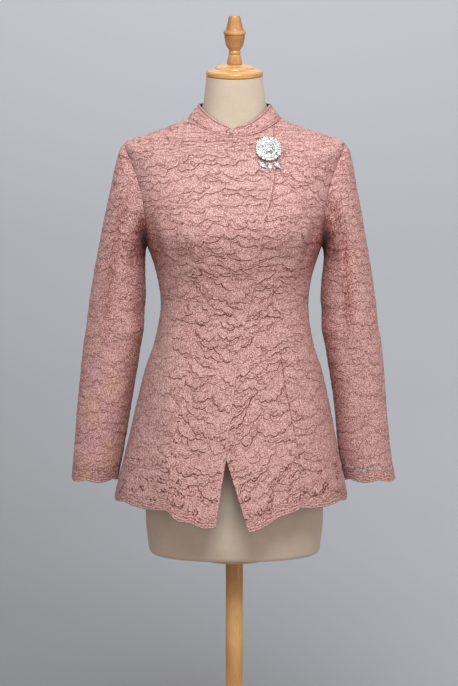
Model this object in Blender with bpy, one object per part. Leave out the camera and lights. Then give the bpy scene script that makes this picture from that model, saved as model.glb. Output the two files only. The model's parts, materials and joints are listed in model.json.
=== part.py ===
"""Kebaya blouse of corded lace, filled out by a limbless dress form on a turned stand.

The stand's round base rests on the floor at the origin, +Z is up and the front of the blouse
faces -Y, so the wearer's right is at -X.  Sizes are in millimetres and MM turns them into
Blender's metres.  The blouse is described by the angle round the body, 0 at the centre front
and +90 at the wearer's left side, and by a level, which counts the rows of the body's table.
"""

import math

import bmesh
import bpy
import numpy as np
from mathutils import Matrix, Vector

for leftover in list(bpy.data.objects):
    bpy.data.objects.remove(leftover)

MM = 0.001

# ------------------------------------------------------------------ driving sizes
CLOTH = 1.6  # wall of the corded lace
SEAM = 0.4  # gap between two panels along a seam
LAP_STEP = 3.2  # the under front lies this much lower than the upper one
LAP_MARGIN = 4.0  # as far as this beyond the upper one's edge
LAP_FADE = 16.0  # and has come back to the common surface by here
FLAP_SHORT = 0.12  # the flap past the centre front ends this part of a level under the collar
SLEEVE_SEAM = 0.5  # gap between the armhole's lower edge and the sleeve
CAP_SEAM = 1.3  # and over the cap, where the two walls turn towards each other
SCALLOP = 4.5  # depth of the lace border's scallops
GAP_WIDTH = 5.4  # size of an open gap in the lace
GAP_HEIGHT = 5.2
GAP_REACH = 9.0  # a gap opens in a cell whose middle is no further from its spot
BUST_X = 85.0
BUST_Z = 1182.0
BUST_RISE = 13.0
BUST_WIDTH = 48.0
BUST_BELOW = 38.0
BUST_ABOVE = 62.0
NECK_LEAN = math.radians(9)  # the neck and its cap lean forward

LACE = ((0.63, 0.34, 0.29, 1.0), 0.75, 0.0)
LINEN = ((0.66, 0.58, 0.47, 1.0), 0.85, 0.0)
TURNED_WOOD = ((0.62, 0.36, 0.15, 1.0), 0.35, 0.0)
STONES = ((0.82, 0.83, 0.84, 1.0), 0.15, 0.6)


class Table:
    """Rows of sizes with named columns, read between the rows along a smooth curve."""

    def __init__(self, columns, rows):
        self.columns = columns.split()
        self.names = [row[0] for row in rows]
        self.sizes = np.array([row[1:] for row in rows], float)

    def level(self, name):
        return float(self.names.index(name))

    def at(self, column, level):
        """Catmull-Rom curve through one column; it runs on a little past both ends."""
        sizes = self.sizes[:, self.columns.index(column)]
        last = len(sizes) - 1
        ends = (2 * sizes[0] - sizes[1], 2 * sizes[-1] - sizes[-2])
        run = np.concatenate((ends[:1], sizes, ends[1:]))
        base = np.clip(np.floor(level), 0, last - 1).astype(int)
        part = level - base
        a, b, c, d = (run[base + step] for step in range(4))
        bend = (2 * a - 5 * b + 4 * c - d) * part**2 + (3 * b - a - 3 * c + d) * part**3
        return b + 0.5 * ((c - a) * part + bend)


def blend(low, high, value):
    """0 below low, 1 above high, and a smooth step between."""
    part = np.clip((value - low) / (high - low), 0, 1)
    return part * part * (3 - 2 * part)


# ------------------------------------------------------------------ the filled-out body
# Half widths and depths of the blouse's outer face.  A row's height differs between side,
# front and back where it climbs over the shoulders; square is the superellipse power, dip
# lowers the corners between, sway moves the row sideways, and the eases are the room between
# the cloth and the form.  grip is high where only the shoulder ridge touches the form.
BODY = Table(
    "side_x side_z front_y front_z back_y back_z square dip sway ease_front ease_side ease_back grip",
    (
        ("below_hem", 219, 668, 158, 668, 166, 668, 2.15, 0, -6.5, 56, 58, 62, 2),
        ("hem", 208, 718, 150, 718, 158, 718, 2.15, 0, -6, 48, 46, 52, 2),
        ("border", 198.5, 760, 143, 760, 155, 760, 2.2, 0, -5, 39, 36, 43, 2),
        ("low_hip", 188, 805, 135, 805, 150, 805, 2.2, 0, -4, 28, 26, 30, 2),
        ("hip", 178.5, 850, 127, 850, 144, 850, 2.25, 0, -3, 16, 13, 15, 2),
        ("high_hip", 168.5, 895, 119.5, 895, 137, 895, 2.25, 0, -2.5, 9, 7, 8, 2),
        ("belly", 157, 940, 112, 940, 125, 940, 2.3, 0, -2, 7, 6, 7, 2),
        ("low_waist", 142, 985, 105, 985, 108, 985, 2.3, 0, -1.5, 7, 6, 7, 2),
        ("waist", 132, 1045, 100, 1045, 92, 1045, 2.3, 0, 0, 7, 6, 7, 2),
        ("high_waist", 135.5, 1090, 105.5, 1090, 93, 1090, 2.3, 0, 0, 7, 5, 6, 2),
        ("under_bust", 144, 1125, 114, 1125, 98, 1125, 2.35, 0, 0, 6.5, 5, 5, 2),
        ("armpit", 155.5, 1158, 120, 1158, 105, 1158, 2.35, 0, 0, 7, 5, 5, 2),
        ("bust", 163, 1185, 123, 1185, 110, 1185, 2.4, 0, 0, 7, 5, 5, 2),
        ("over_bust", 169, 1215, 119.5, 1215, 114.5, 1215, 2.45, 0, 0, 7, 5, 5, 2),
        ("chest", 176, 1250, 110, 1248, 117, 1250, 2.5, 0, 0, 7, 5, 5, 2),
        ("upper_chest", 183, 1283, 98.5, 1279, 116, 1284, 2.5, 2, 0, 6.5, 5, 5, 2),
        ("blade", 190, 1313, 88, 1305, 111, 1316, 2.45, 6, 0, 6.5, 5, 6, 2),
        ("tip", 194, 1341, 81, 1329, 103, 1343, 2.35, 13, 0, 6.5, 0.6, 5, 60),
        ("mid_shoulder", 160, 1355, 77.5, 1339, 90.5, 1366, 2.2, 9, 0, 6, 0.5, 5, 60),
        ("inner_shoulder", 121, 1368, 75.5, 1346, 79, 1383, 2.1, 5, 0, 6, 0.5, 5, 60),
        ("neck", 83, 1384.5, 74.5, 1352, 71, 1393, 2.0, 0, 0, 6, 0.5, 5, 60),
    ),
)
HEM = BODY.level("hem")
WAIST = BODY.level("waist")
ARMPIT = BODY.level("armpit")
TIP = BODY.level("tip")
NECK = BODY.level("neck")

# Soft folds of the cloth, each a ridge, or a trough where its height is negative, that runs
# between two points of the body and changes its height on the way.
FOLDS = Table(
    "top_angle top_z low_angle low_z width top_height low_height",
    (
        ("armpit_trough_right", -55, 1185, -53, 1080, 5.0, -2.5, 0),
        ("armpit_ridge_right", -46, 1180, -47, 1100, 5.0, 2.5, 0),
        ("armpit_trough_left", 53, 1180, 51, 1075, 5.0, -3, 0),
        ("armpit_ridge_left", 44, 1178, 45, 1085, 5.0, 3, 0),
        ("hip_flute_right", -68, 930, -63, 690, 10, 0, 5),
        ("hip_trough_right", -45, 900, -42, 690, 9, 0, -4),
        ("hip_trough_left", 40, 900, 40, 690, 9, 0, -4),
        ("hip_flute_left", 66, 930, 60, 690, 10, 0, 5),
        ("back_flute_right", -115, 950, -118, 690, 9, 0, 6),
        ("back_trough_right", -136, 930, -138, 690, 9, 0, -6),
        ("back_flute_near_right", -157, 960, -158, 690, 9, 0, 6),
        ("back_trough_centre", 180, 980, 181, 690, 10, 0, -5),
        ("back_flute_near_left", 159, 960, 157, 690, 9, 0, 6),
        ("back_trough_left", 138, 930, 136, 690, 9, 0, -6),
        ("back_flute_left", 117, 950, 115, 690, 9, 0, 6),
        ("waist_fold_right", -152, 1080, -150, 1010, 7, 0, 2.5),
        ("waist_fold_left", 152, 1080, 150, 1010, 7, 0, 2.5),
    ),
)


def section(half_x, front_y, back_y, square, angle):
    """A rounded section: the x and y of the point at each angle."""
    sine, cosine = np.sin(angle), np.cos(angle)
    reach = (np.abs(sine) ** square + np.abs(cosine) ** square) ** (-1 / square)
    depth = np.where(cosine > 0, front_y, back_y)
    return half_x * sine * reach, -depth * cosine * reach


def body(angle, level, sway=1.0):
    """Point of the blouse's outer face before its folds."""
    column = {name: BODY.at(name, level) for name in BODY.columns}
    x, y = section(column["side_x"], column["front_y"], column["back_y"], column["square"], angle)
    end_z = np.where(np.cos(angle) > 0, column["front_z"], column["back_z"])
    z = column["side_z"] + (end_z - column["side_z"]) * np.cos(angle) ** 2
    z = z - column["dip"] * np.sin(2 * angle) ** 2
    height = np.where(z < BUST_Z, BUST_BELOW, BUST_ABOVE)
    across = (np.abs(x) - BUST_X) / BUST_WIDTH
    rise = BUST_RISE * np.exp(-(across**2) - ((z - BUST_Z) / height) ** 2)
    y = y - rise * blend(0.0, 0.5, np.cos(angle))
    return np.stack((x + sway * column["sway"], y, z), axis=-1)


def outward(surface, first, second, step=0.01):
    """Unit normal of a surface given by a function of two numbers."""
    along_first = surface(first + step, second) - surface(first - step, second)
    along_second = surface(first, second + step) - surface(first, second - step)
    normal = np.cross(along_first, along_second)
    return normal / np.linalg.norm(normal, axis=-1, keepdims=True)


def fold_height(angle, z):
    """Height of the folds over the body, at an angle and a height."""
    degrees = np.degrees(angle)
    total = np.zeros_like(degrees)
    for top_angle, top_z, low_angle, low_z, width, top_height, low_height in FOLDS.sizes:
        way = np.clip((top_z - z) / (top_z - low_z), 0, 1)
        middle = top_angle + (low_angle - top_angle) * way
        away = (degrees - middle + 180) % 360 - 180
        height = top_height + (low_height - top_height) * blend(0, 1, way)
        height = height * blend(top_z + 40, top_z, z)
        total = total + height * np.exp(-((away / width) ** 2))
    return total


def cloth(angle, level, depth, drop=0.0):
    """Point in the blouse's wall: depth 0 is the outer face and 1 the inner one."""
    base = body(angle, level)
    lift = fold_height(angle, base[..., 2]) - drop - depth * CLOTH
    return base + outward(body, angle, level) * lift[..., None]


def level_at(z):
    """Level whose side point has this height."""
    levels = np.linspace(-0.5, NECK, 400)
    return np.interp(z, BODY.at("side_z", levels), levels)


# ------------------------------------------------------------------ edges and seams
# Height of the hem by x along the fronts; the two front corners hang lowest.
HEM_X = (-200, -172, -117, -95, -60, -34, 25, 48, 65, 90, 115, 180, 200)
HEM_Z = (707, 706, 701, 688, 680, 676, 668, 680, 687, 701, 705, 708, 708)
HEM_BACK_Z = 708.0

# Each line gives x by height, from the hem upwards.
PRINCESS_Z = (700, 760, 808, 860, 905, 970, 1020, 1066, 1110, 1150, 1182, 1208, 1226, 1240)
PRINCESS_X = (119, 114, 111, 100, 90, 80, 71, 66, 68, 77, 88, 112, 138, 163)
OVERLAP_Z = (673, 794, 887, 947, 1008, 1061, 1105, 1149, 1176, 1210, 1240, 1261, 1291, 1303, 1352)
OVERLAP_X = (-34, -15, -4, 5, 14, 27, 37, 44, 47, 52, 61, 66, 70, 72, 68)
UNDERLAP_Z = (666, 794, 900, 1000, 1140, 1290, 1352)
UNDERLAP_X = (25, -15, -40, -35, -15, -5, -4)

ARMHOLE_FRONT = math.radians(28)  # the armhole's half width round the body, in front
ARMHOLE_BACK = math.radians(26)  # and behind


def hem_level(angle, scallops):
    """Level of the hem, with the border's scallops given as a drop in millimetres."""
    x = body(angle, np.full_like(angle, HEM))[..., 0]
    z = np.where(np.cos(angle) > 0, np.interp(x, HEM_X, HEM_Z), HEM_BACK_Z)
    return level_at(z - scallops)


def true_level(row, angle, scallops=0.0):
    """Rows count from the hem: they follow it below the waist and are levels above."""
    low = hem_level(angle, scallops)
    part = (row - HEM) / (WAIST - HEM)
    return np.where(row < WAIST, low + part * (WAIST - low), row)


def angle_at(row, line_x, line_z, side=1):
    """Angle at which a row of the front meets the line that gives x by height."""
    low = np.full(np.shape(row), math.radians(-80.0))
    high = -low
    for _ in range(40):
        middle = (low + high) / 2
        point = body(middle, true_level(row, middle))
        beyond = point[..., 0] > side * np.interp(point[..., 2], line_z, line_x)
        high = np.where(beyond, middle, high)
        low = np.where(beyond, low, middle)
    return (low + high) / 2


def armhole_level(turn):
    """Level of the armhole's edge; turn is 0 at the shoulder tip and 90 degrees in front."""
    tip_z, armpit_z = BODY.at("side_z", TIP), BODY.at("side_z", ARMPIT)
    return level_at(armpit_z + (tip_z - armpit_z) * (1 + np.cos(turn)) / 2)


def armhole_angle(turn):
    """Angle of the left armhole's edge round the body."""
    spread = np.where(np.sin(turn) > 0, -ARMHOLE_FRONT, ARMHOLE_BACK)
    return math.pi / 2 + spread * np.abs(np.sin(turn)) ** 0.8


def armhole_turn(level):
    """Turn of the armhole's front edge at a level, 180 degrees at the underarm."""
    turns = np.linspace(math.pi, 0, 200)
    return np.interp(level, armhole_level(turns), turns)


PRINCESS_TOP = float(level_at(PRINCESS_Z[-1]))
PRINCESS_TURN = float(armhole_turn(PRINCESS_TOP))


def princess_levels(count):
    """Levels of points evenly spaced along the princess seam, from the waist to its top."""
    z = np.linspace(BODY.at("side_z", WAIST), PRINCESS_Z[-1], 200)
    run = np.hypot(np.diff(np.interp(z, PRINCESS_Z, PRINCESS_X)), np.diff(z))
    length = np.concatenate(((0,), np.cumsum(run)))
    return level_at(np.interp(np.linspace(0, length[-1], count), length, z))


# Rows of the panels, closer together at the border.  A side front's rows climb faster at the
# princess seam than at the side seam, because its top edge is the armhole.
BORDER_ROWS = (HEM, 1.22, 1.45, 1.7, 2.0, 2.3, 2.65, 3.0)
WAIST_ROWS = np.concatenate((BORDER_ROWS, np.arange(3.5, WAIST, 0.5)))
UNDERARM_ROWS = np.concatenate((WAIST_ROWS, np.linspace(WAIST, ARMPIT, 9)))
PRINCESS_ROWS = np.concatenate((WAIST_ROWS, princess_levels(9)))
SHOULDER_ROWS = np.linspace(TIP, NECK, 5)
CHEST_TURNS = np.linspace(PRINCESS_TURN, 0, 6)
BACK_TURNS = np.linspace(math.pi, 0, 9)
FRONT_ROWS = np.concatenate((PRINCESS_ROWS, armhole_level(CHEST_TURNS)[1:-1], SHOULDER_ROWS))
BACK_ROWS = np.concatenate((UNDERARM_ROWS, armhole_level(BACK_TURNS)[1:-1], SHOULDER_ROWS))


def row_value(rows, number):
    """Row at a pattern's row number, which may lie between two rows at a gap."""
    return np.interp(number, np.arange(len(rows)), rows)


def kept_back(angle, row):
    """Angle by which an edge keeps back to leave its half of the seam's gap."""
    width = np.linalg.norm(body(angle + 0.01, row) - body(angle - 0.01, row), axis=-1)
    return SEAM / 2 * 0.02 / width


def princess_angle(row, side):
    """Angle of a princess seam from the centre front, brought to the armhole at its top."""
    angle = np.abs(angle_at(row, PRINCESS_X, PRINCESS_Z, side))
    top = np.abs(angle_at(np.array(PRINCESS_TOP), PRINCESS_X, PRINCESS_Z, side))
    return angle + (armhole_angle(PRINCESS_TURN) - top) * blend(PRINCESS_TOP - 1, PRINCESS_TOP, row)


def front_edge(row, side):
    """Outer edge of a centre front: princess seam, then armhole, then shoulder seam."""
    seam = princess_angle(np.minimum(row, PRINCESS_TOP), side)
    hole = armhole_angle(armhole_turn(np.clip(row, PRINCESS_TOP, TIP)))
    edge = np.where(row < PRINCESS_TOP, seam, np.where(row < TIP, hole, math.pi / 2))
    return edge - kept_back(edge, row)


def back_edge(row):
    """Edge of the back from the centre front: side seam, then armhole, then shoulder seam."""
    hole = armhole_angle(-armhole_turn(np.clip(row, ARMPIT, TIP)))
    edge = np.where((row > ARMPIT) & (row < TIP), hole, math.pi / 2)
    return edge + kept_back(edge, row)


# ------------------------------------------------------------------ making the pieces
def material(name, finish):
    """A plain finish from a colour, a roughness and a metallic value."""
    colour, roughness, metallic = finish
    made = bpy.data.materials.new(name)
    made.use_nodes = True
    shader = made.node_tree.nodes["Principled BSDF"]
    shader.inputs["Base Color"].default_value = colour
    shader.inputs["Roughness"].default_value = roughness
    shader.inputs["Metallic"].default_value = metallic
    return made


def finish_piece(name, bm, finish):
    """Turn a closed bmesh, in millimetres, into a smooth object of the scene."""
    bmesh.ops.recalc_face_normals(bm, faces=bm.faces)
    if bm.calc_volume(signed=True) < 0:
        bmesh.ops.reverse_faces(bm, faces=bm.faces)
    bmesh.ops.scale(bm, vec=(MM, MM, MM), verts=bm.verts)
    mesh = bpy.data.meshes.new(name)
    bm.to_mesh(mesh)
    bm.free()
    mesh.shade_smooth()
    mesh.set_sharp_from_angle(angle=math.radians(50))
    mesh.materials.append(material(name, finish))
    piece = bpy.data.objects.new(name, mesh)
    bpy.context.scene.collection.objects.link(piece)
    return piece


def lay(bm, place, *coordinates):
    """Move every vertex to the point that its own coordinates have on the garment."""
    for vert, point in zip(bm.verts, place(*coordinates)):
        vert.co = Vector(point)


def double(bm):
    """Give an open sheet its second face, and return that face's vertices."""
    wall = bmesh.ops.extrude_face_region(bm, geom=bm.faces[:])
    return [part for part in wall["geom"] if isinstance(part, bmesh.types.BMVert)]


def cut_gap(bm, place, column, row):
    """Open one cell of a flat pattern; the gap has the same size in every cell."""
    corner = place(np.array([column, column + 1.0, column]), np.array([row, row, row + 1.0]), 0)
    share_x = GAP_WIDTH / np.linalg.norm(corner[1] - corner[0])
    share_y = GAP_HEIGHT / np.linalg.norm(corner[2] - corner[0])
    centre = Vector((column + 0.5, row + 0.5, 0))
    cell = min(bm.faces, key=lambda face: (face.calc_center_median() - centre).length)
    corners = [vert.co - centre for vert in cell.verts]
    bmesh.ops.inset_individual(bm, faces=[cell], thickness=0.1)
    for vert, away in zip(cell.verts, corners):
        vert.co = centre + Vector((away.x * share_x, away.y * share_y, 0))
    bmesh.ops.delete(bm, geom=[cell], context="FACES_ONLY")


def cells_near(spots, place, columns, rows):
    """Cells of a front's pattern that lie on the spots, given by x and height."""
    u, v = np.meshgrid(np.arange(columns) + 0.5, np.arange(rows) + 0.5)
    centres = place(u.ravel(), v.ravel(), 0)[:, (0, 2)]
    found = set()
    for spot in spots:
        away = np.linalg.norm(centres - spot, axis=1)
        nearest = int(np.argmin(away))
        if away[nearest] < GAP_REACH:
            found.add((nearest % columns, nearest // columns))
    return sorted(found)


def panel(name, columns, rows, place, gaps=()):
    """A sheet of cloth: a flat grid of unit cells, given a wall and laid in place."""
    bm = bmesh.new()
    bmesh.ops.create_grid(bm, x_segments=columns, y_segments=rows, size=0.5)
    bmesh.ops.translate(bm, vec=(0.5, 0.5, 0), verts=bm.verts)
    bmesh.ops.scale(bm, vec=(columns, rows, 1), verts=bm.verts)
    for column, row in gaps:
        cut_gap(bm, place, column, row)
    bmesh.ops.translate(bm, vec=(0, 0, 1), verts=double(bm))
    flat = np.array([vert.co for vert in bm.verts])
    lay(bm, place, flat[:, 0], flat[:, 1], flat[:, 2])
    return finish_piece(name, bm, LACE)


def spin_line(line, steps):
    """Spin a line of points round Z into an open surface."""
    bm = bmesh.new()
    verts = [bm.verts.new(point) for point in line]
    for low, high in zip(verts, verts[1:]):
        bm.edges.new((low, high))
    bmesh.ops.spin(
        bm,
        geom=bm.verts[:] + bm.edges[:],
        axis=(0, 0, 1),
        cent=(0, 0, 0),
        dvec=(0, 0, 0),
        angle=2 * math.pi,
        steps=steps,
        use_merge=True,
        use_normal_flip=False,
        use_duplicate=False,
    )
    return bm


def turned(name, profile, finish, steps=24, stand=Matrix()):
    """A turned piece: a profile of radius and height, closed at the axis and stood in place."""
    ends = [(0, profile[0][1]), (0, profile[-1][1])]
    line = [(radius, 0, height) for radius, height in (ends[0], *profile, ends[1])]
    bm = spin_line(line, steps)
    bmesh.ops.remove_doubles(bm, verts=bm.verts, dist=0.01)
    bmesh.ops.transform(bm, matrix=stand, verts=bm.verts)
    return finish_piece(name, bm, finish)


# ------------------------------------------------------------------ fronts and back
RIGHT_COLUMNS = 11
LEFT_COLUMNS = 9
LAP_COLUMNS = 5  # columns of the left centre front that lie under the right one
LAP_BEYOND = 0.04  # angle by which they reach past its edge
SIDE_COLUMNS = 6
BACK_COLUMNS = 20
FRONT_SCALLOPS = 2  # scallops of the border across each front panel
BACK_SCALLOPS = 10

# Open gaps between the motifs of the border, by x and height.
GAP_SPOTS = (
    (-170, 752), (-163, 738), (-152, 764), (-158, 712), (-133, 729), (-126, 735), (-124, 788),
    (-119, 776), (-115, 757), (-110, 745), (-103, 766), (-99, 784), (-82, 752), (-70, 735),
    (-52, 727), (-47, 748), (-44, 700), (19, 764), (34, 694), (44, 738), (48, 698), (52, 756),
    (58, 720), (66, 749), (70, 760), (96, 730), (104, 724), (129, 783), (134, 774), (140, 739),
    (160, 765), (172, 733),
)


def scallop_drop(part, row, count):
    """Drop of the border's edge, from nothing at its cusps, fading out above the border."""
    return SCALLOP * np.abs(np.sin(math.pi * count * part)) * blend(BORDER_ROWS[-1], HEM, row)


def left_angle(row, part):
    """Columns of the left centre front: the first few lie under the right one."""
    inner, outer = angle_at(row, UNDERLAP_X, UNDERLAP_Z), front_edge(row, 1)
    share = LAP_COLUMNS / LEFT_COLUMNS
    least = inner + 0.7 * share * (outer - inner)
    edge = np.maximum(angle_at(row, OVERLAP_X, OVERLAP_Z) + LAP_BEYOND, least)
    under = inner + (edge - inner) * part / share
    beside = edge + (outer - edge) * (part - share) / (1 - share)
    return np.where(part < share, under, beside)


def right_angle(row, part):
    """Columns of the right centre front, from its outer edge to the edge that laps over."""
    outer = -front_edge(row, -1)
    return outer + (angle_at(row, OVERLAP_X, OVERLAP_Z) - outer) * part


def left_centre(u, v, depth):
    """The wearer's left centre front, which runs on under the right one."""
    row = row_value(FRONT_ROWS, v)
    part = u / LEFT_COLUMNS
    angle = left_angle(row, part)
    level = true_level(row, angle, scallop_drop(part, row, FRONT_SCALLOPS))
    point = body(angle, level)
    past_edge = point[..., 0] - np.interp(point[..., 2], OVERLAP_Z, OVERLAP_X)
    return cloth(angle, level, depth, LAP_STEP * blend(LAP_FADE, LAP_MARGIN, past_edge))


def right_centre(u, v, depth):
    """The wearer's right centre front, which laps over the left one."""
    row = row_value(FRONT_ROWS, v)
    part = u / RIGHT_COLUMNS
    angle = right_angle(row, part)
    level = true_level(row, angle, scallop_drop(part, row, FRONT_SCALLOPS))
    level = np.where(angle > 0, np.minimum(level, NECK - FLAP_SHORT), level)
    return cloth(angle, level, depth)


def side_front(side):
    """Place of a side front, from princess seam to side seam, topped by the armhole's edge."""

    def place(u, v, depth):
        part = u / SIDE_COLUMNS
        seam_row = row_value(PRINCESS_ROWS, v)
        side_row = row_value(UNDERARM_ROWS, v)
        seam = princess_angle(seam_row, side)
        seam = seam + kept_back(seam, seam_row)
        side_seam = math.pi / 2 - kept_back(math.pi / 2, side_row)
        turn = PRINCESS_TURN + (math.pi - PRINCESS_TURN) * part
        pull = (v / (len(UNDERARM_ROWS) - 1)) ** 5
        top_seam = float(armhole_angle(PRINCESS_TURN))
        bow = armhole_angle(turn) - top_seam - (math.pi / 2 - top_seam) * part
        rise = armhole_level(turn) - PRINCESS_TOP - (ARMPIT - PRINCESS_TOP) * part
        angle = seam + (side_seam - seam) * part + pull * bow
        row = seam_row + (side_row - seam_row) * part + pull * rise
        level = true_level(row, side * angle, scallop_drop(part, row, FRONT_SCALLOPS))
        return cloth(side * angle, level, depth)

    return place


def whole_back(u, v, depth):
    """The back in one piece, from the wearer's left side seam to the right one."""
    row = row_value(BACK_ROWS, v)
    part = u / BACK_COLUMNS
    edge = back_edge(row)
    angle = edge + (2 * math.pi - 2 * edge) * part
    level = true_level(row, angle, scallop_drop(part, row, BACK_SCALLOPS))
    return cloth(angle, level, depth)


FRONTS = (
    ("front_right_centre", RIGHT_COLUMNS, FRONT_ROWS, right_centre),
    ("front_right_side", SIDE_COLUMNS, UNDERARM_ROWS, side_front(-1)),
    ("front_left_centre", LEFT_COLUMNS, FRONT_ROWS, left_centre),
    ("front_left_side", SIDE_COLUMNS, UNDERARM_ROWS, side_front(1)),
)
for name, columns, rows, place in FRONTS:
    panel(name, columns, len(rows) - 1, place, cells_near(GAP_SPOTS, place, columns, len(rows) - 1))

BACK_GAPS = [(column, 1 + (5 * column) % 7) for column in range(BACK_COLUMNS)]
panel("back", BACK_COLUMNS, len(BACK_ROWS) - 1, whole_back, BACK_GAPS)


# ------------------------------------------------------------------ sleeves
# Sections of the wearer's right sleeve, from the shoulder to the cuff: the outer and inner
# points, the half depth and the centre's y.  left_outer and left_inner say how much nearer
# the body the left sleeve hangs.
SLEEVE = Table(
    "outer_x outer_z inner_x inner_z half_depth centre_y left_outer left_inner",
    (
        ("armhole", 194, 1341, 158, 1160, 57, 3, 0, 0),
        ("cap_top", 204, 1328, 158.5, 1156, 58, 3, 0, 0),
        ("cap", 213, 1296, 159, 1152, 59, 3, 1, 0),
        ("cap_low", 222, 1255, 159.5, 1147, 59, 3, 3, 0),
        ("bicep", 232, 1210, 160, 1138, 58, 3, 4, 0),
        ("upper_arm", 243, 1155, 160.5, 1120, 56, 3, 5, 1),
        ("above_elbow", 252, 1110, 160, 1090, 54, 3, 6, 4),
        ("elbow", 260, 1060, 160, 1050, 51, 4, 7, 5),
        ("below_elbow", 267, 1010, 165, 1004, 49, 5, 8, 6),
        ("forearm", 273, 970, 171, 964, 47, 7, 7, 5),
        ("mid_forearm", 283, 880, 186, 876, 43, 10, 9, 6),
        ("wrist", 291, 790, 201, 788, 39, 14, 8, 12),
        ("cuff", 296.5, 735, 212.5, 735, 37, 16, 4, 11),
    ),
)
# Its columns start at the points of the armhole's edge that the panels have.
side_turns = np.linspace(PRINCESS_TURN, math.pi, SIDE_COLUMNS + 1)
SLEEVE_TURNS = np.concatenate((CHEST_TURNS[::-1], side_turns[1:], 2 * math.pi - BACK_TURNS[1:]))
SLEEVE_STEPS = len(SLEEVE_TURNS) - 1
SLEEVE_ROWS = 22
CUFF_SCALLOPS = 5
CUFF_BORDER = 11.3  # the scallops fade in from this section to the cuff
SEAM_OPENS = (0.98, 0, -0.2)  # the armhole seam's gap opens outwards and a little down
CAP_FADE = 3.6  # the sleeve has its own sections from here down; above it eases to the armhole

# Soft creases of a filled sleeve, by turn and section, each a low ridge or trough.
CREASES = Table(
    "turn section turn_width section_width height",
    (
        ("front_armpit", 125, 4.6, 28, 0.35, -2.5),
        ("front_drag", 105, 5.6, 32, 0.3, 2.0),
        ("elbow_hollow", 160, 7.2, 35, 0.3, -2.5),
        ("elbow_ridge", 150, 8.0, 35, 0.35, 2.0),
        ("back_armpit", -125, 4.8, 28, 0.35, -2.5),
        ("back_elbow", -60, 7.4, 35, 0.3, -2.0),
        ("forearm_ridge", -90, 8.6, 35, 0.4, 2.0),
    ),
)


def sleeve_surface(side):
    """Outer face of a sleeve by turn and section."""
    left = (side + 1) / 2

    def armhole_edge(turn):
        return cloth(side * armhole_angle(turn), armhole_level(turn), 0)

    def ideal(turn, section):
        column = {name: SLEEVE.at(name, section) for name in SLEEVE.columns}
        outer = np.stack((column["outer_x"] - left * column["left_outer"], column["outer_z"]))
        inner = np.stack((column["inner_x"] - left * column["left_inner"], column["inner_z"]))
        middle = (outer + inner) / 2 + (outer - inner) / 2 * np.cos(turn)
        y = column["centre_y"] - column["half_depth"] * np.sin(turn)
        return np.stack((side * middle[0], y, middle[1]), axis=-1)

    def surface(turn, section):
        start = np.zeros_like(section)
        gap = SLEEVE_SEAM + (CAP_SEAM - SLEEVE_SEAM) * blend(-0.3, 0.5, np.cos(turn))
        away = np.array(SEAM_OPENS) * (side, 1, 1) * gap[..., None]
        miss = armhole_edge(turn) + away - ideal(turn, start)
        fade = np.clip(1 - section / CAP_FADE, 0, 1) ** 2
        point = ideal(turn, section) + miss * fade[..., None]
        hem = blend(CUFF_BORDER, 12, section) * SCALLOP * np.abs(np.sin(CUFF_SCALLOPS * turn / 2))
        point[..., 2] -= hem
        return point

    return surface


def sleeve(name, side):
    """A filled-out set-in sleeve, open at the armhole and the cuff."""
    surface = sleeve_surface(side)
    last = len(SLEEVE.names) - 1

    def place(step, row, depth):
        turn = np.interp(step, np.arange(SLEEVE_STEPS + 1), SLEEVE_TURNS)
        section = row / SLEEVE_ROWS * last
        normal = side * outward(surface, turn, section)
        lift = -depth * CLOTH
        for at, crease, turn_width, section_width, height in CREASES.sizes:
            across = (np.degrees(turn) - at + 180) % 360 - 180
            along = (section - crease) / section_width
            lift = lift + height * np.exp(-((across / turn_width) ** 2) - along**2)
        return surface(turn, section) + normal * lift[..., None]

    bm = spin_line([(1, 0, row) for row in range(SLEEVE_ROWS + 1)], SLEEVE_STEPS)
    bmesh.ops.scale(bm, vec=(0.5, 0.5, 1), verts=double(bm))
    flat = np.array([vert.co for vert in bm.verts])
    radius = np.hypot(flat[:, 0], flat[:, 1])
    step = np.arctan2(flat[:, 1], flat[:, 0]) / (2 * math.pi) % 1 * SLEEVE_STEPS
    lay(bm, place, np.round(step) % SLEEVE_STEPS, flat[:, 2], 2 * (1 - radius))
    return finish_piece(name, bm, LACE)


sleeve("sleeve_right", -1)
sleeve("sleeve_left", 1)


# ------------------------------------------------------------------ stand collar
COLLAR_SIDE = (63, 1410)  # half width and height of the collar's top edge at the sides
COLLAR_FRONT = (62, 1371)
COLLAR_BACK = (64, 1418)
COLLAR_CLEARANCE = 1.0  # gap above the neck seam
COLLAR_NOTCH = 0.42  # height of the front ends, as a share of the full height
COLLAR_CURVE = 14.0  # width over which a front end rounds up to the full height
COLLAR_END = math.radians(5)  # width of the first column at each front end
COLLAR_ROWS = 3
CENTRE_X = -4.5  # the two front ends meet here


def collar_top(angle):
    """Top edge of the collar all round."""
    x, y = section(COLLAR_SIDE[0], COLLAR_FRONT[0], COLLAR_BACK[0], 2.0, angle)
    end_z = np.where(np.cos(angle) > 0, COLLAR_FRONT[1], COLLAR_BACK[1])
    z = COLLAR_SIDE[1] + (end_z - COLLAR_SIDE[1]) * np.cos(angle) ** 2
    return np.stack((x, y, z), axis=-1)


def collar_surface(angle, rise):
    """Outer face of the collar, leaning in from the neck seam."""
    low = body(angle, np.full_like(angle, NECK))
    return low + (collar_top(angle) - low) * rise[..., None]


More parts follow.
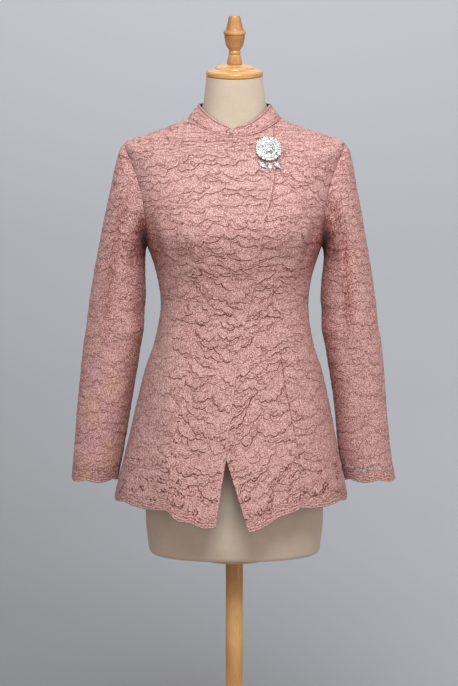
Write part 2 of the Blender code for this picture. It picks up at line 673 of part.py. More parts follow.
def collar_angles():
    """Columns of the collar: those of the panels' own top edges, from front end to front end."""
    neck = np.full(1, NECK)
    start = float(angle_at(neck, (CENTRE_X, CENTRE_X), (0, 2000))[0])
    whole = 2 * math.pi
    left = left_angle(neck, np.linspace(0, 1, LEFT_COLUMNS + 1))
    right = right_angle(neck, np.linspace(0, 1, RIGHT_COLUMNS + 1)) + whole
    back = np.linspace(whole / 4, 3 * whole / 4, BACK_COLUMNS + 1)
    end = float(kept_back(np.full(1, start), neck)[0])
    first, last = start + end, start + whole - end
    left, right = left[left > first + COLLAR_END], right[right < last - COLLAR_END]
    ends = (first, first + COLLAR_END), (last - COLLAR_END, last)
    return np.array([*ends[0], *left[:-1], *back, *right[1:], *ends[1]])


def collar():
    """A stand collar in one band, its two rounded ends meeting at the centre front."""
    angles = collar_angles()
    count = len(angles) - 1

    def place(u, v, depth):
        angle = np.interp(u, np.arange(count + 1), angles)
        low = body(angle, np.full_like(angle, NECK))
        x = np.minimum(np.abs(low[:, 0] - CENTRE_X) / COLLAR_CURVE, 1)
        behind = np.cos(angle) < 0
        curve = np.where(behind, 1, np.sqrt(1 - (1 - x) ** 2))
        full = COLLAR_NOTCH + (1 - COLLAR_NOTCH) * curve
        height = np.linalg.norm(collar_top(angle) - low, axis=-1)
        start = COLLAR_CLEARANCE / height
        rise = start + (full - start) * v / COLLAR_ROWS
        wall = outward(collar_surface, angle, rise) * CLOTH * depth[:, None]
        return collar_surface(angle, rise) - wall

    panel("collar", count, COLLAR_ROWS, place)


collar()


# ------------------------------------------------------------------ brooch
# A flower of stones pinned over the corner of the overlap, with three leaves soldered below.
BROOCH_X = 58.7
BROOCH_Z = 1331.0
BROOCH_RADIUS = 23.5
BROOCH_BACK = 0.5  # gap between the brooch's back and the cloth
RIM_STONES = 16
PETALS = 8
BROOCH_STEPS = 48
LEAVES = (
    ("brooch_leaf_right", (42.5, 1308.5), (56.5, 1297.0), 9.5),
    ("brooch_leaf_middle", (61.0, 1306.0), (61.5, 1292.5), 7.5),
    ("brooch_leaf_left", (69.5, 1308.0), (80.5, 1296.0), 9.5),
)


def front_point(x, z):
    """Point of the upper front's outer face and its normal, by x and height."""
    levels = np.linspace(ARMPIT, NECK, 400)
    angles = angle_at(levels, (x, x), (0, 2000))
    points = body(angles, levels)
    nearest = int(np.argmin(np.abs(points[:, 2] - z)))
    angle, level = angles[nearest : nearest + 1], levels[nearest : nearest + 1]
    return Vector(points[nearest]), Vector(outward(body, angle, level)[0])


def lying_at(x, z, turn=0.0):
    """Matrix that lays a piece's XY plane on the front, its Y axis up the cloth."""
    point, normal = front_point(x, z)
    up = (Vector((0, 0, 1)) - normal * normal.z).normalized()
    across = up.cross(normal)
    frame = Matrix((across, up, normal)).transposed().to_4x4()
    return Matrix.Translation(point + normal * BROOCH_BACK) @ frame @ Matrix.Rotation(turn, 4, "Z")


def flower_height(radius, turn):
    """Relief of the flower: a domed centre, petals and a rim of round stones."""
    dome = 6.5 * np.sqrt(np.clip(1 - (radius / 8.5) ** 2, 0, 1))
    petal = 2.8 * blend(7, 11, radius) * blend(19.5, 15, radius)
    petal = petal * (0.6 + 0.4 * np.cos(PETALS * turn))
    rim = 2.2 * np.clip(1 - ((radius - 20.8) / 2.9) ** 2, 0, 1)
    rim = rim * (0.6 + 0.4 * np.cos(RIM_STONES * turn))
    return 1.6 + dome + petal + rim


def brooch_flower():
    """The flower as one casting with a flat back."""
    rings = (4.5, 8.0, 11.0, 15.0, 18.5, 20.8, BROOCH_RADIUS)
    face = [(radius, 0, 1.0) for radius in rings]
    line = [(0.0, 0, 1.0), *face, (BROOCH_RADIUS, 0, 0.0), (0.0, 0, 0.0)]
    bm = spin_line(line, BROOCH_STEPS)
    bmesh.ops.remove_doubles(bm, verts=bm.verts, dist=0.01)
    for vert in bm.verts:
        radius, turn = math.hypot(vert.co.x, vert.co.y), math.atan2(vert.co.y, vert.co.x)
        if vert.co.z > 0.5:
            vert.co.z = float(flower_height(radius, turn))
        if radius > BROOCH_RADIUS - 1.5:
            scallop = 1 - 0.03 * (1 - math.cos(RIM_STONES * turn))
            vert.co.x *= scallop
            vert.co.y *= scallop
    bmesh.ops.transform(bm, matrix=lying_at(BROOCH_X, BROOCH_Z), verts=bm.verts)
    return finish_piece("brooch_flower", bm, STONES)


def brooch_leaf(name, root, point, width):
    """A pointed leaf of metal set with stones, thickest along its middle."""
    run = Vector((point[0] - root[0], point[1] - root[1]))
    bm = bmesh.new()
    bmesh.ops.create_uvsphere(bm, u_segments=10, v_segments=6, radius=1.0)
    for vert in bm.verts:
        along = vert.co.y
        vert.co.x *= (1 - 0.25 * along) * width / 2
        vert.co.y *= run.length / 2
        vert.co.z = max(vert.co.z, 0) * 2.2 + min(vert.co.z, 0) * 0.6 + 0.6
    middle = ((root[0] + point[0]) / 2, (root[1] + point[1]) / 2)
    turn = math.atan2(run.y, run.x) - math.pi / 2
    bmesh.ops.transform(bm, matrix=lying_at(*middle, turn), verts=bm.verts)
    return finish_piece(name, bm, STONES)


brooch_flower()
for name, root, point, width in LEAVES:
    brooch_leaf(name, root, point, width)


# ------------------------------------------------------------------ dress form
# The form's own sections below the blouse and up the neck, from the bottom upwards.
FORM = Table(
    "side_x side_z front_y front_z back_y back_z",
    (
        ("bottom", 150, 600, 91.5, 600, 95, 600),
        ("bottom_edge", 155.5, 608, 96, 608, 99, 608),
        ("seat", 160, 645, 100, 645, 102.5, 645),
        ("neck_root", 60, 1397, 55, 1369, 57, 1403),
        ("neck_low", 55.5, 1411, 54.5, 1392, 55, 1418),
        ("neck_middle", 52.5, 1434, 55.5, 1424, 50, 1438),
        ("neck_top", 50, 1460, 57, 1450.97, 44, 1466.97),
    ),
)
FORM_SQUARE = 2.1  # superellipse power of these sections
FORM_STEPS = 36
FORM_LEVELS = (*range(8), *np.linspace(WAIST, ARMPIT, 6), *armhole_level(BACK_TURNS)[1:-1], *SHOULDER_ROWS)


def form_ring(angle, level):
    """Ring of the linen cover under the blouse, kept clear of the cloth."""
    around = np.full_like(angle, level)
    hold = np.abs(np.sin(angle)) ** np.maximum(BODY.at("grip", around), 2)
    ends = np.where(np.cos(angle) > 0, BODY.at("ease_front", around), BODY.at("ease_back", around))
    ease = ends + (BODY.at("ease_side", around) - ends) * hold

    def surface(first, second):
        return body(first, second, sway=0.0)

    return surface(angle, around) - outward(surface, angle, around) * (ease + CLOTH)[:, None]


def end_ring(angle, row):
    """Ring of the form outside the blouse, from its own table."""
    side_x, side_z, front_y, front_z, back_y, back_z = FORM.sizes[FORM.names.index(row)]
    x, y = section(side_x, front_y, back_y, FORM_SQUARE, angle)
    slope = np.where(y < 0, (side_z - front_z) / front_y, (back_z - side_z) / back_y)
    return np.stack((x, y, side_z + slope * y), axis=-1)


def form_torso():
    """The padded torso and neck in one linen cover, its arm ends closed smooth."""
    angle = np.arange(FORM_STEPS) * 2 * math.pi / FORM_STEPS
    low = [end_ring(angle, row) for row in FORM.names[:3]]
    under = [form_ring(angle, level) for level in FORM_LEVELS]
    neck = [end_ring(angle, row) for row in FORM.names[3:]]
    rings = np.array([*low, *under, *neck])
    bm = spin_line([(1, 0, number) for number in range(len(rings))], FORM_STEPS)
    bmesh.ops.holes_fill(bm, edges=[edge for edge in bm.edges if edge.is_boundary], sides=0)
    for vert in bm.verts:
        turn = math.atan2(vert.co.y, vert.co.x) % (2 * math.pi)
        step = round(turn / (2 * math.pi) * FORM_STEPS) % FORM_STEPS
        vert.co = Vector(rings[round(vert.co.z), step])
    caps = [face for face in bm.faces if len(face.verts) > 4]
    bmesh.ops.poke(bm, faces=caps)
    return finish_piece("form_torso", bm, LINEN)


form_torso()

CAP_CENTRE = Vector((0, -6.5, 1459.3))
CAP_PROFILE = ((49, 0), (50.4, 1.5), (50.4, 6.5), (48, 9.5), (37, 13), (34.5, 15.5), (22, 19.5), (14, 20.5))
FINIAL_PROFILE = (
    (13.6, 0), (11.2, 15), (9.6, 16.2), (10.1, 17.5), (10.1, 22.5), (9.4, 23.6), (14, 29.7),
    (16.6, 37), (18.2, 48), (18.2, 51.4), (19.9, 53), (19.9, 57), (16, 60), (14, 66), (12.3, 73),
    (11, 80), (9.5, 84.5), (5, 85.5),
)
leaning = Matrix.Translation(CAP_CENTRE) @ Matrix.Rotation(NECK_LEAN, 4, "X")
turned("neck_cap", CAP_PROFILE, TURNED_WOOD, 32, leaning)
finial_place = leaning @ Matrix.Translation((0, 0, CAP_PROFILE[-1][1] + 0.3))
turned("finial", FINIAL_PROFILE, TURNED_WOOD, 16, finial_place)


# ------------------------------------------------------------------ stand
FORM_BOTTOM = 600.0
BASE_RADIUS = 180.0
BASE_HEIGHT = 24.0
POLE_RADIUS = 16.0
PLATE_HEIGHT = 14.0
plate_low = FORM_BOTTOM - 0.3 - PLATE_HEIGHT
base_profile = ((BASE_RADIUS, 0), (BASE_RADIUS, 14), (BASE_RADIUS - 8, 20), (60, BASE_HEIGHT))
turned("base", base_profile, TURNED_WOOD, 32)
turned("pole_collar", ((34, 24.3), (34, 34), (24, 44), (24, 52)), TURNED_WOOD, 16)
turned("pole", ((POLE_RADIUS, 52.3), (POLE_RADIUS, plate_low - 0.3)), TURNED_WOOD)
turned("top_plate", ((26, plate_low), (70, plate_low + 6), (70, plate_low + PLATE_HEIGHT)), TURNED_WOOD)
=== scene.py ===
import json
import math

import bmesh
import bpy
import numpy as np
from mathutils import Matrix, Vector

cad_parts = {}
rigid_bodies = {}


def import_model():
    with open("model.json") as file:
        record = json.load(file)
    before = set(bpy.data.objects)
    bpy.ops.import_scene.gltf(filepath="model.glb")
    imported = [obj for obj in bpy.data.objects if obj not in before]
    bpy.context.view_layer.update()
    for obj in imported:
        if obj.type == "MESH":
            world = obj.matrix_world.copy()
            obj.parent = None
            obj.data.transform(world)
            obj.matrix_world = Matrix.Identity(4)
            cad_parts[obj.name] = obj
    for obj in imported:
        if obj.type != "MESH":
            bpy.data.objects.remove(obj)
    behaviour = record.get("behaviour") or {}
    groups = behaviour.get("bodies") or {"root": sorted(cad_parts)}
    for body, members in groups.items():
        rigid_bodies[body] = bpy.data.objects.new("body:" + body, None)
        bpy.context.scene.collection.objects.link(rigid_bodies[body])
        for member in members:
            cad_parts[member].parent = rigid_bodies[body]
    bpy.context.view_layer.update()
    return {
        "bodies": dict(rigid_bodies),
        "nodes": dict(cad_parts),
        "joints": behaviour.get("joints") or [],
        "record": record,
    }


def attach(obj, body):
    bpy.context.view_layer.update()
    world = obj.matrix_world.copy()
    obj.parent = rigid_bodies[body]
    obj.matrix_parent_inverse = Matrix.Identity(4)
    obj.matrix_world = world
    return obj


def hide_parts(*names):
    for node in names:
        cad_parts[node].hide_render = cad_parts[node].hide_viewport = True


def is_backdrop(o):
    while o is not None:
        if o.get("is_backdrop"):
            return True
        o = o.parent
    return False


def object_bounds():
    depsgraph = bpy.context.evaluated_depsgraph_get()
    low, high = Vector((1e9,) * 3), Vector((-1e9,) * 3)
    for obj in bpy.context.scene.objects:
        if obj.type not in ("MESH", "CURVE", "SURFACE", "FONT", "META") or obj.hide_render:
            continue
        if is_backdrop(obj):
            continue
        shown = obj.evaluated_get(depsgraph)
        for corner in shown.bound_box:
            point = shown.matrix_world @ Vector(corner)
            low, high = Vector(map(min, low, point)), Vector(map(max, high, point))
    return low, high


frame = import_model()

# ------------------------------------------------------------------ stand: round base
# A disc of light beech, turned on a lathe with a stepped edge, sanded and varnished.
# It stands flat on the floor and carries the pole in its middle.  Sizes are in millimetres.
MM = 0.001
BASE_RADIUS = 180
BASE_HEIGHT = 24


class Value:
    """One output of a material's nodes; sums and products of it add their own Math nodes."""

    def __init__(self, tree, socket):
        self.tree = tree
        self.socket = socket

    def node(self, kind, settings, values, out=0):
        """Any other node: its type, its settings, the values or links of its sockets."""
        made = self.tree.nodes.new(kind)
        for name, setting in settings.items():
            setattr(made, name, setting)
        for name, value in values.items():
            if isinstance(value, Value):
                self.tree.links.new(value.socket, made.inputs[name])
            else:
                made.inputs[name].default_value = value
        return Value(self.tree, made.outputs[out])

    def maths(self, operation, first, second=0.0):
        return self.node("ShaderNodeMath", {"operation": operation}, {0: first, 1: second})

    def __add__(self, other):
        return self.maths("ADD", self, other)

    def __radd__(self, other):
        return self.maths("ADD", other, self)

    def __sub__(self, other):
        return self.maths("SUBTRACT", self, other)

    def __rsub__(self, other):
        return self.maths("SUBTRACT", other, self)

    def __mul__(self, other):
        return self.maths("MULTIPLY", self, other)

    def __rmul__(self, other):
        return self.maths("MULTIPLY", other, self)

    def __pow__(self, other):
        return self.maths("POWER", self, other)

    def sine(self):
        return self.maths("SINE", self)

    def least(self, other):
        return self.maths("MINIMUM", self, other)

    def most(self, other):
        return self.maths("MAXIMUM", self, other)

    def step(self, low, high):
        """0 at low, 1 at high and a smooth step between, in either direction."""
        values = {"Value": self, "From Min": low, "From Max": high}
        return self.node("ShaderNodeMapRange", {"interpolation_type": "SMOOTHSTEP"}, values)

    def scaled(self, x, y, z):
        """A vector stretched along its three axes."""
        return self.node("ShaderNodeVectorMath", {"operation": "MULTIPLY"}, {0: self, 1: (x, y, z)})

    def length(self):
        return self.node("ShaderNodeVectorMath", {"operation": "LENGTH"}, {0: self}, "Value")

    def noise(self, scale, detail):
        values = {"Vector": self, "Scale": scale, "Detail": detail}
        return self.node("ShaderNodeTexNoise", {}, values)

    def cells(self, scale):
        """Distance from the middle of the nearest of many scattered cells, 0 to about 1."""
        return self.node("ShaderNodeTexVoronoi", {}, {"Vector": self, "Scale": scale})

    def between(self, first, second):
        """This share of the way from the first colour to the second."""
        return self.node("ShaderNodeMix", {"data_type": "RGBA"}, {0: self, 6: first, 7: second}, 2)

    def bump(self, strength, distance):
        values = {"Height": self, "Strength": strength, "Distance": distance}
        return self.node("ShaderNodeBump", {}, values)


def new_finish(name, fixed):
    """A material with the shader's fixed numbers set; returns it, its place and its shader."""
    material = bpy.data.materials.new(name)
    material.use_nodes = True
    tree = material.node_tree
    shader = tree.nodes["Principled BSDF"]
    for socket, value in fixed.items():
        shader.inputs[socket].default_value = value
    place = Value(tree, tree.nodes.new("ShaderNodeTexCoord").outputs["Object"])
    return material, place, shader


def feed(shader, **sockets):
    """Link values to the shader: colour, roughness, alpha or normal."""
    names = {"colour": "Base Color", "rough": "Roughness", "alpha": "Alpha", "normal": "Normal"}
    for key, value in sockets.items():
        value.tree.links.new(value.socket, shader.inputs[names[key]])


def varnished_beech(name, along, light=(0.70, 0.40, 0.155, 1), dark=(0.46, 0.215, 0.068, 1)):
    """Light beech under clear satin varnish, its grain running along the given axis."""
    fixed = {"Coat Weight": 0.35, "Coat Roughness": 0.18, "Specular IOR Level": 0.45}
    material, place, shader = new_finish(name, fixed)
    drawn_out, ring_count, ring_warp, ring_edge = 0.05, 900, 22, 1.6
    squeeze = {"x": (drawn_out, 1, 1), "z": (1, 1, drawn_out)}[along]
    run = place.scaled(*squeeze)
    swirl = run.noise(9.0, 3.0)
    rings = ((run.length() * ring_count + swirl * ring_warp).sine() * 0.5 + 0.5) ** ring_edge
    fibres = place.scaled(*[part * 60 for part in squeeze]).noise(22.0, 3.0)
    flecks = place.scaled(*[part * 24 for part in squeeze]).noise(30.0, 1.0).step(0.62, 0.7)
    colour = (rings * 0.6 + fibres * 1.2 - 0.4).between(light, dark)
    fleck_brown = (*(part * 0.64 for part in dark[:3]), 1)
    colour = (flecks * 0.45).between(colour, fleck_brown)
    feed(shader, colour=colour, rough=fibres * 0.16 + 0.24, normal=fibres.bump(0.12, 0.0004))
    return material


def to_object(name, bm, finish):
    """A finished bmesh, in metres, made an object of one material."""
    mesh = bpy.data.meshes.new(name)
    bm.to_mesh(mesh)
    bm.free()
    mesh.shade_smooth()
    mesh.materials.append(finish)
    made = bpy.data.objects.new(name, mesh)
    bpy.context.scene.collection.objects.link(made)
    return made


def keep(name, bm, finish, nodes=(), sharp=40):
    """A piece that rides on the object; edges above the sharp angle stay crisp."""
    piece = to_object(name, bm, finish)
    piece.data.set_sharp_from_angle(angle=math.radians(sharp))
    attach(piece, "root")
    if nodes:
        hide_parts(*nodes)
    return piece


def spin_line(line, steps):
    """Spin a line of points round Z into a surface, its ends open or on the axis."""
    bm = bmesh.new()
    verts = [bm.verts.new(point) for point in line]
    for low, high in zip(verts, verts[1:]):
        bm.edges.new((low, high))
    bmesh.ops.spin(
        bm,
        geom=bm.verts[:] + bm.edges[:],
        axis=(0, 0, 1),
        cent=(0, 0, 0),
        dvec=(0, 0, 0),
        angle=2 * math.pi,
        steps=steps,
        use_merge=True,
        use_normal_flip=False,
        use_duplicate=False,
    )
    return bm


CREASE = math.radians(24)  # a turned edge sharper than this is eased


def turned(name, profile, finish, node, stand=Matrix(), steps=96, edge=0.8):
    """A piece turned on the lathe from a profile of radius and height, its edges eased."""
    line = [(0, 0, profile[0][1]), *((radius, 0, height) for radius, height in profile)]
    bm = spin_line([*line, (0, 0, profile[-1][1])], steps)
    bmesh.ops.remove_doubles(bm, verts=bm.verts, dist=0.001)
    bmesh.ops.recalc_face_normals(bm, faces=bm.faces)
    rims = [rim for rim in bm.edges if rim.is_manifold and rim.calc_face_angle() > CREASE]
    bmesh.ops.bevel(
        bm,
        geom=rims,
        offset=edge,
        segments=3,
        affect="EDGES",
        profile=0.5,
        material=-1,
        clamp_overlap=True,
    )
    bmesh.ops.transform(bm, matrix=Matrix.Scale(MM, 4) @ stand, verts=bm.verts)
    keep(name, bm, finish, [node])


base_profile = (
    (BASE_RADIUS, 0), (BASE_RADIUS, 11), (BASE_RADIUS - 3, 14), (BASE_RADIUS - 8, 14.6),
    (BASE_RADIUS - 10, 18), (BASE_RADIUS - 16, 20.4), (70, 23.4), (60, BASE_HEIGHT),
)
board_beech = varnished_beech("beech_board", "x")
turned("stand_base", base_profile, board_beech, "base", edge=1.0)

# ------------------------------------------------------------------ stand: collar, pole and plate
# A turned collar is screwed to the base and the straight pole is pegged into it; the plate
# on top of the pole carries the torso.  All are the same varnished beech, grain upright.
POLE_RADIUS = 16
PLATE_HEIGHT = 14
PLATE_RADIUS = 70
FORM_BOTTOM = 600
GLUE_LINE = 0.3  # room between two turned pieces

upright_beech = varnished_beech("beech_turned", "z")
collar_low = BASE_HEIGHT + GLUE_LINE
collar_top_z = 52
collar_profile = (
    (34, collar_low), (34, 30), (31, 33), (33, 36), (29, 40), (24, 44), (24, collar_top_z),
)
turned("stand_collar", collar_profile, upright_beech, "pole_collar")
plate_low = FORM_BOTTOM - GLUE_LINE - PLATE_HEIGHT
pole_profile = ((POLE_RADIUS, collar_top_z + GLUE_LINE), (POLE_RADIUS, plate_low - GLUE_LINE))
turned("stand_pole", pole_profile, upright_beech, "pole")
plate_profile = (
    (26, plate_low),
    (PLATE_RADIUS - 4, plate_low + 5),
    (PLATE_RADIUS, plate_low + 8),
    (PLATE_RADIUS, plate_low + PLATE_HEIGHT),
)
turned("stand_plate", plate_profile, upright_beech, "top_plate")

# ------------------------------------------------------------------ dress form: torso and neck
# A limbless papier-mache torso with a long neck, its arm ends closed smooth, padded and
# covered in one cover of natural linen.  It fills the blouse and sits on the stand's plate.
FORM_STEPS = 144
CLOTH = 1.6  # thickness of the blouse's wall, which the form keeps inside
BUST_X = 85.0  # middle of each bust, how far it rises, and its half sizes
BUST_Z = 1182.0
BUST_RISE = 13.0
BUST_WIDTH = 48.0
BUST_BELOW = 38.0
BUST_ABOVE = 62.0


class Table:
    """Rows of sizes with named columns, read between the rows along a smooth curve."""

    def __init__(self, columns, rows):
        self.columns = columns.split()
        self.names = [row[0] for row in rows]
        self.sizes = np.array([row[1:] for row in rows], float)

    def level(self, name):
        return float(self.names.index(name))

    def at(self, column, level):
        """Catmull-Rom curve through one column; it runs on a little past both ends."""
        sizes = self.sizes[:, self.columns.index(column)]
        last = len(sizes) - 1
        ends = (2 * sizes[0] - sizes[1], 2 * sizes[-1] - sizes[-2])
        run = np.concatenate((ends[:1], sizes, ends[1:]))
        base = np.clip(np.floor(level), 0, last - 1).astype(int)
        part = level - base
        a, b, c, d = (run[base + step] for step in range(4))
        bend = (2 * a - 5 * b + 4 * c - d) * part**2 + (3 * b - a - 3 * c + d) * part**3
        return b + 0.5 * ((c - a) * part + bend)


def blend(low, high, value):
    """0 below low, 1 above high, and a smooth step between."""
    part = np.clip((value - low) / (high - low), 0, 1)
    return part * part * (3 - 2 * part)


# Half widths and depths of the blouse's outer face.  A row's height differs between side,
# front and back where it climbs over the shoulders; square is the superellipse power, dip
# lowers the corners between, sway moves the row sideways, and the eases are the room between
# the cloth and the form.  grip is high where only the shoulder ridge touches the form.
BODY = Table(
    "side_x side_z front_y front_z back_y back_z square dip sway"
    " ease_front ease_side ease_back grip",
    (
        ("below_hem", 219, 668, 158, 668, 166, 668, 2.15, 0, -6.5, 56, 58, 62, 2),
        ("hem", 208, 718, 150, 718, 158, 718, 2.15, 0, -6, 48, 46, 52, 2),
        ("border", 198.5, 760, 143, 760, 155, 760, 2.2, 0, -5, 39, 36, 43, 2),
        ("low_hip", 188, 805, 135, 805, 150, 805, 2.2, 0, -4, 28, 26, 30, 2),
        ("hip", 178.5, 850, 127, 850, 144, 850, 2.25, 0, -3, 16, 13, 15, 2),
        ("high_hip", 168.5, 895, 119.5, 895, 137, 895, 2.25, 0, -2.5, 9, 7, 8, 2),
        ("belly", 157, 940, 112, 940, 125, 940, 2.3, 0, -2, 7, 6, 7, 2),
        ("low_waist", 142, 985, 105, 985, 108, 985, 2.3, 0, -1.5, 7, 6, 7, 2),
        ("waist", 132, 1045, 100, 1045, 92, 1045, 2.3, 0, 0, 7, 6, 7, 2),
        ("high_waist", 135.5, 1090, 105.5, 1090, 93, 1090, 2.3, 0, 0, 7, 5, 6, 2),
        ("under_bust", 144, 1125, 114, 1125, 98, 1125, 2.35, 0, 0, 6.5, 5, 5, 2),
        ("armpit", 155.5, 1158, 120, 1158, 105, 1158, 2.35, 0, 0, 7, 5, 5, 2),
        ("bust", 163, 1185, 123, 1185, 110, 1185, 2.4, 0, 0, 7, 5, 5, 2),
        ("over_bust", 169, 1215, 119.5, 1215, 114.5, 1215, 2.45, 0, 0, 7, 5, 5, 2),
        ("chest", 176, 1250, 110, 1248, 117, 1250, 2.5, 0, 0, 7, 5, 5, 2),
        ("upper_chest", 183, 1283, 98.5, 1279, 116, 1284, 2.5, 2, 0, 6.5, 5, 5, 2),
        ("blade", 190, 1313, 88, 1305, 111, 1316, 2.45, 6, 0, 6.5, 5, 6, 2),
        ("tip", 194, 1341, 81, 1329, 103, 1343, 2.35, 13, 0, 6.5, 0.6, 5, 60),
        ("mid_shoulder", 160, 1355, 77.5, 1339, 90.5, 1366, 2.2, 9, 0, 6, 0.5, 5, 60),
        ("inner_shoulder", 121, 1368, 75.5, 1346, 79, 1383, 2.1, 5, 0, 6, 0.5, 5, 60),
        ("neck", 83, 1384.5, 74.5, 1352, 71, 1393, 2.0, 0, 0, 6, 0.5, 5, 60),
    ),
)
HEM = BODY.level("hem")
WAIST = BODY.level("waist")
ARMPIT = BODY.level("armpit")
TIP = BODY.level("tip")
NECK = BODY.level("neck")


def section(half_x, front_y, back_y, square, angle):
    """A rounded section: the x and y of the point at each angle."""
    sine, cosine = np.sin(angle), np.cos(angle)
    reach = (np.abs(sine) ** square + np.abs(cosine) ** square) ** (-1 / square)
    depth = np.where(cosine > 0, front_y, back_y)
    return half_x * sine * reach, -depth * cosine * reach


def body(angle, level, sway=1.0):
    """Point of the blouse's outer face before its folds."""
    column = {name: BODY.at(name, level) for name in BODY.columns}
    x, y = section(column["side_x"], column["front_y"], column["back_y"], column["square"], angle)
    end_z = np.where(np.cos(angle) > 0, column["front_z"], column["back_z"])
    z = column["side_z"] + (end_z - column["side_z"]) * np.cos(angle) ** 2
    z = z - column["dip"] * np.sin(2 * angle) ** 2
    height = np.where(z < BUST_Z, BUST_BELOW, BUST_ABOVE)
    across = (np.abs(x) - BUST_X) / BUST_WIDTH
    rise = BUST_RISE * np.exp(-(across**2) - ((z - BUST_Z) / height) ** 2)
    y = y - rise * blend(0.0, 0.5, np.cos(angle))
    return np.stack((x + sway * column["sway"], y, z), axis=-1)


NUDGE = 0.01  # a small step in angle or level, to feel which way a surface runs


def outward(surface, first, second):
    """Unit normal of a surface given by a function of two numbers."""
    along_first = surface(first + NUDGE, second) - surface(first - NUDGE, second)
    along_second = surface(first, second + NUDGE) - surface(first, second - NUDGE)
    normal = np.cross(along_first, along_second)
    return normal / np.linalg.norm(normal, axis=-1, keepdims=True)


def level_at(z):
    """Level whose side point has this height."""
    levels = np.linspace(-0.5, NECK, 400)
    return np.interp(z, BODY.at("side_z", levels), levels)


ARMHOLE_FRONT = math.radians(28)  # the armhole's half width round the body, in front
ARMHOLE_BACK = math.radians(26)  # and behind


def armhole_level(turn):
    """Level of the armhole's edge; turn is 0 at the shoulder tip and 90 degrees in front."""
    tip_z, armpit_z = BODY.at("side_z", TIP), BODY.at("side_z", ARMPIT)
    return level_at(armpit_z + (tip_z - armpit_z) * (1 + np.cos(turn)) / 2)


# The form's own sections below the blouse and up the neck, from the bottom upwards.
FORM = Table(
    "side_x side_z front_y front_z back_y back_z",
    (
        ("bottom", 150, 600, 91.5, 600, 95, 600),
        ("bottom_edge", 155.5, 608, 96, 608, 99, 608),
        ("seat", 160, 645, 100, 645, 102.5, 645),
        ("neck_root", 60, 1397, 55, 1369, 57, 1403),
        ("neck_low", 55.5, 1411, 54.5, 1392, 55, 1418),
        ("neck_middle", 52.5, 1434, 55.5, 1424, 50, 1438),
        ("neck_top", 50, 1460, 57, 1450.97, 44, 1466.97),
    ),
)
FORM_LEVELS = np.concatenate((range(8), np.linspace(WAIST, NECK, 34)))


def form_ring(angle, level):
    """Ring of the linen cover under the blouse, kept clear of the cloth."""
    around = np.full_like(angle, level)
    hold = np.abs(np.sin(angle)) ** np.maximum(BODY.at("grip", around), 2)
    ends = np.where(np.cos(angle) > 0, BODY.at("ease_front", around), BODY.at("ease_back", around))
    ease = ends + (BODY.at("ease_side", around) - ends) * hold

    def surface(first, second):
        return body(first, second, sway=0.0)

    return surface(angle, around) - outward(surface, angle, around) * (ease + CLOTH)[:, None]


def end_ring(angle, row):
    """Ring of the form outside the blouse, between two rows of its own table."""
    sizes = [FORM.at(name, np.full(1, float(row))) for name in FORM.columns]
    side_x, side_z, front_y, front_z, back_y, back_z = sizes
    x, y = section(side_x, front_y, back_y, 2.1, angle)
    slope = np.where(y < 0, (side_z - front_z) / front_y, (back_z - side_z) / back_y)
    return np.stack((x, y, side_z + slope * y), axis=-1)


def natural_linen():
    """Plain-woven natural linen: crossing threads with slubs, softly mottled, matt."""
    fixed = {"Specular IOR Level": 0.25, "Sheen Weight": 0.15, "Sheen Roughness": 0.5}
    material, place, shader = new_finish("linen", fixed)
    warp = place.scaled(1, 1, 0.05).noise(760.0, 1.0)
    weft = place.scaled(0.1, 0.1, 1).noise(820.0, 1.0)
    threads = (warp + weft) * 0.5
    slubs = place.scaled(0.2, 0.2, 3).noise(150.0, 2.0).step(0.64, 0.76)
    mottle = place.noise(14.0, 2.0).step(0.35, 0.68)
    colour = mottle.between((0.565, 0.455, 0.345, 1), (0.62, 0.51, 0.40, 1))
    colour = (threads.step(0.38, 0.62) * 0.2 + 0.8).between((0.46, 0.36, 0.26, 1), colour)
    colour = (slubs * 0.15).between(colour, (0.80, 0.71, 0.58, 1))
    feed(shader, colour=colour, rough=threads * 0.1 + 0.78, normal=threads.bump(0.3, 0.0004))
    return material


NECK_ROOT, NECK_LOW, NECK_TOP = map(FORM.level, ("neck_root", "neck_low", "neck_top"))
form_angle = np.arange(FORM_STEPS) * 2 * math.pi / FORM_STEPS
foot = [end_ring(form_angle, row) for row in (0, 0.5, 1, 2)]
covered = [form_ring(form_angle, level) for level in FORM_LEVELS]
root, neck_low = end_ring(form_angle, NECK_ROOT), end_ring(form_angle, NECK_LOW)
neck = [root + (neck_low - root) * part for part in (0, 0.33, 0.67)]
neck += [end_ring(form_angle, row) for row in np.linspace(NECK_LOW, NECK_TOP, 9)]
form_rings = np.array([*foot, *covered, *neck])
bm = spin_line([(1, 0, number) for number in range(len(form_rings))], FORM_STEPS)
bmesh.ops.holes_fill(bm, edges=[edge for edge in bm.edges if edge.is_boundary], sides=0)
for vert in bm.verts:
    turn = math.atan2(vert.co.y, vert.co.x) % (2 * math.pi)
    step = round(turn / (2 * math.pi) * FORM_STEPS) % FORM_STEPS
    vert.co = Vector(form_rings[round(vert.co.z), step]) * MM
closed_ends = [face for face in bm.faces if len(face.verts) > 4]
bmesh.ops.inset_region(bm, faces=closed_ends, thickness=2.0 * MM)
bmesh.ops.recalc_face_normals(bm, faces=bm.faces)
keep("form_cover", bm, natural_linen(), ["form_torso"], sharp=55)

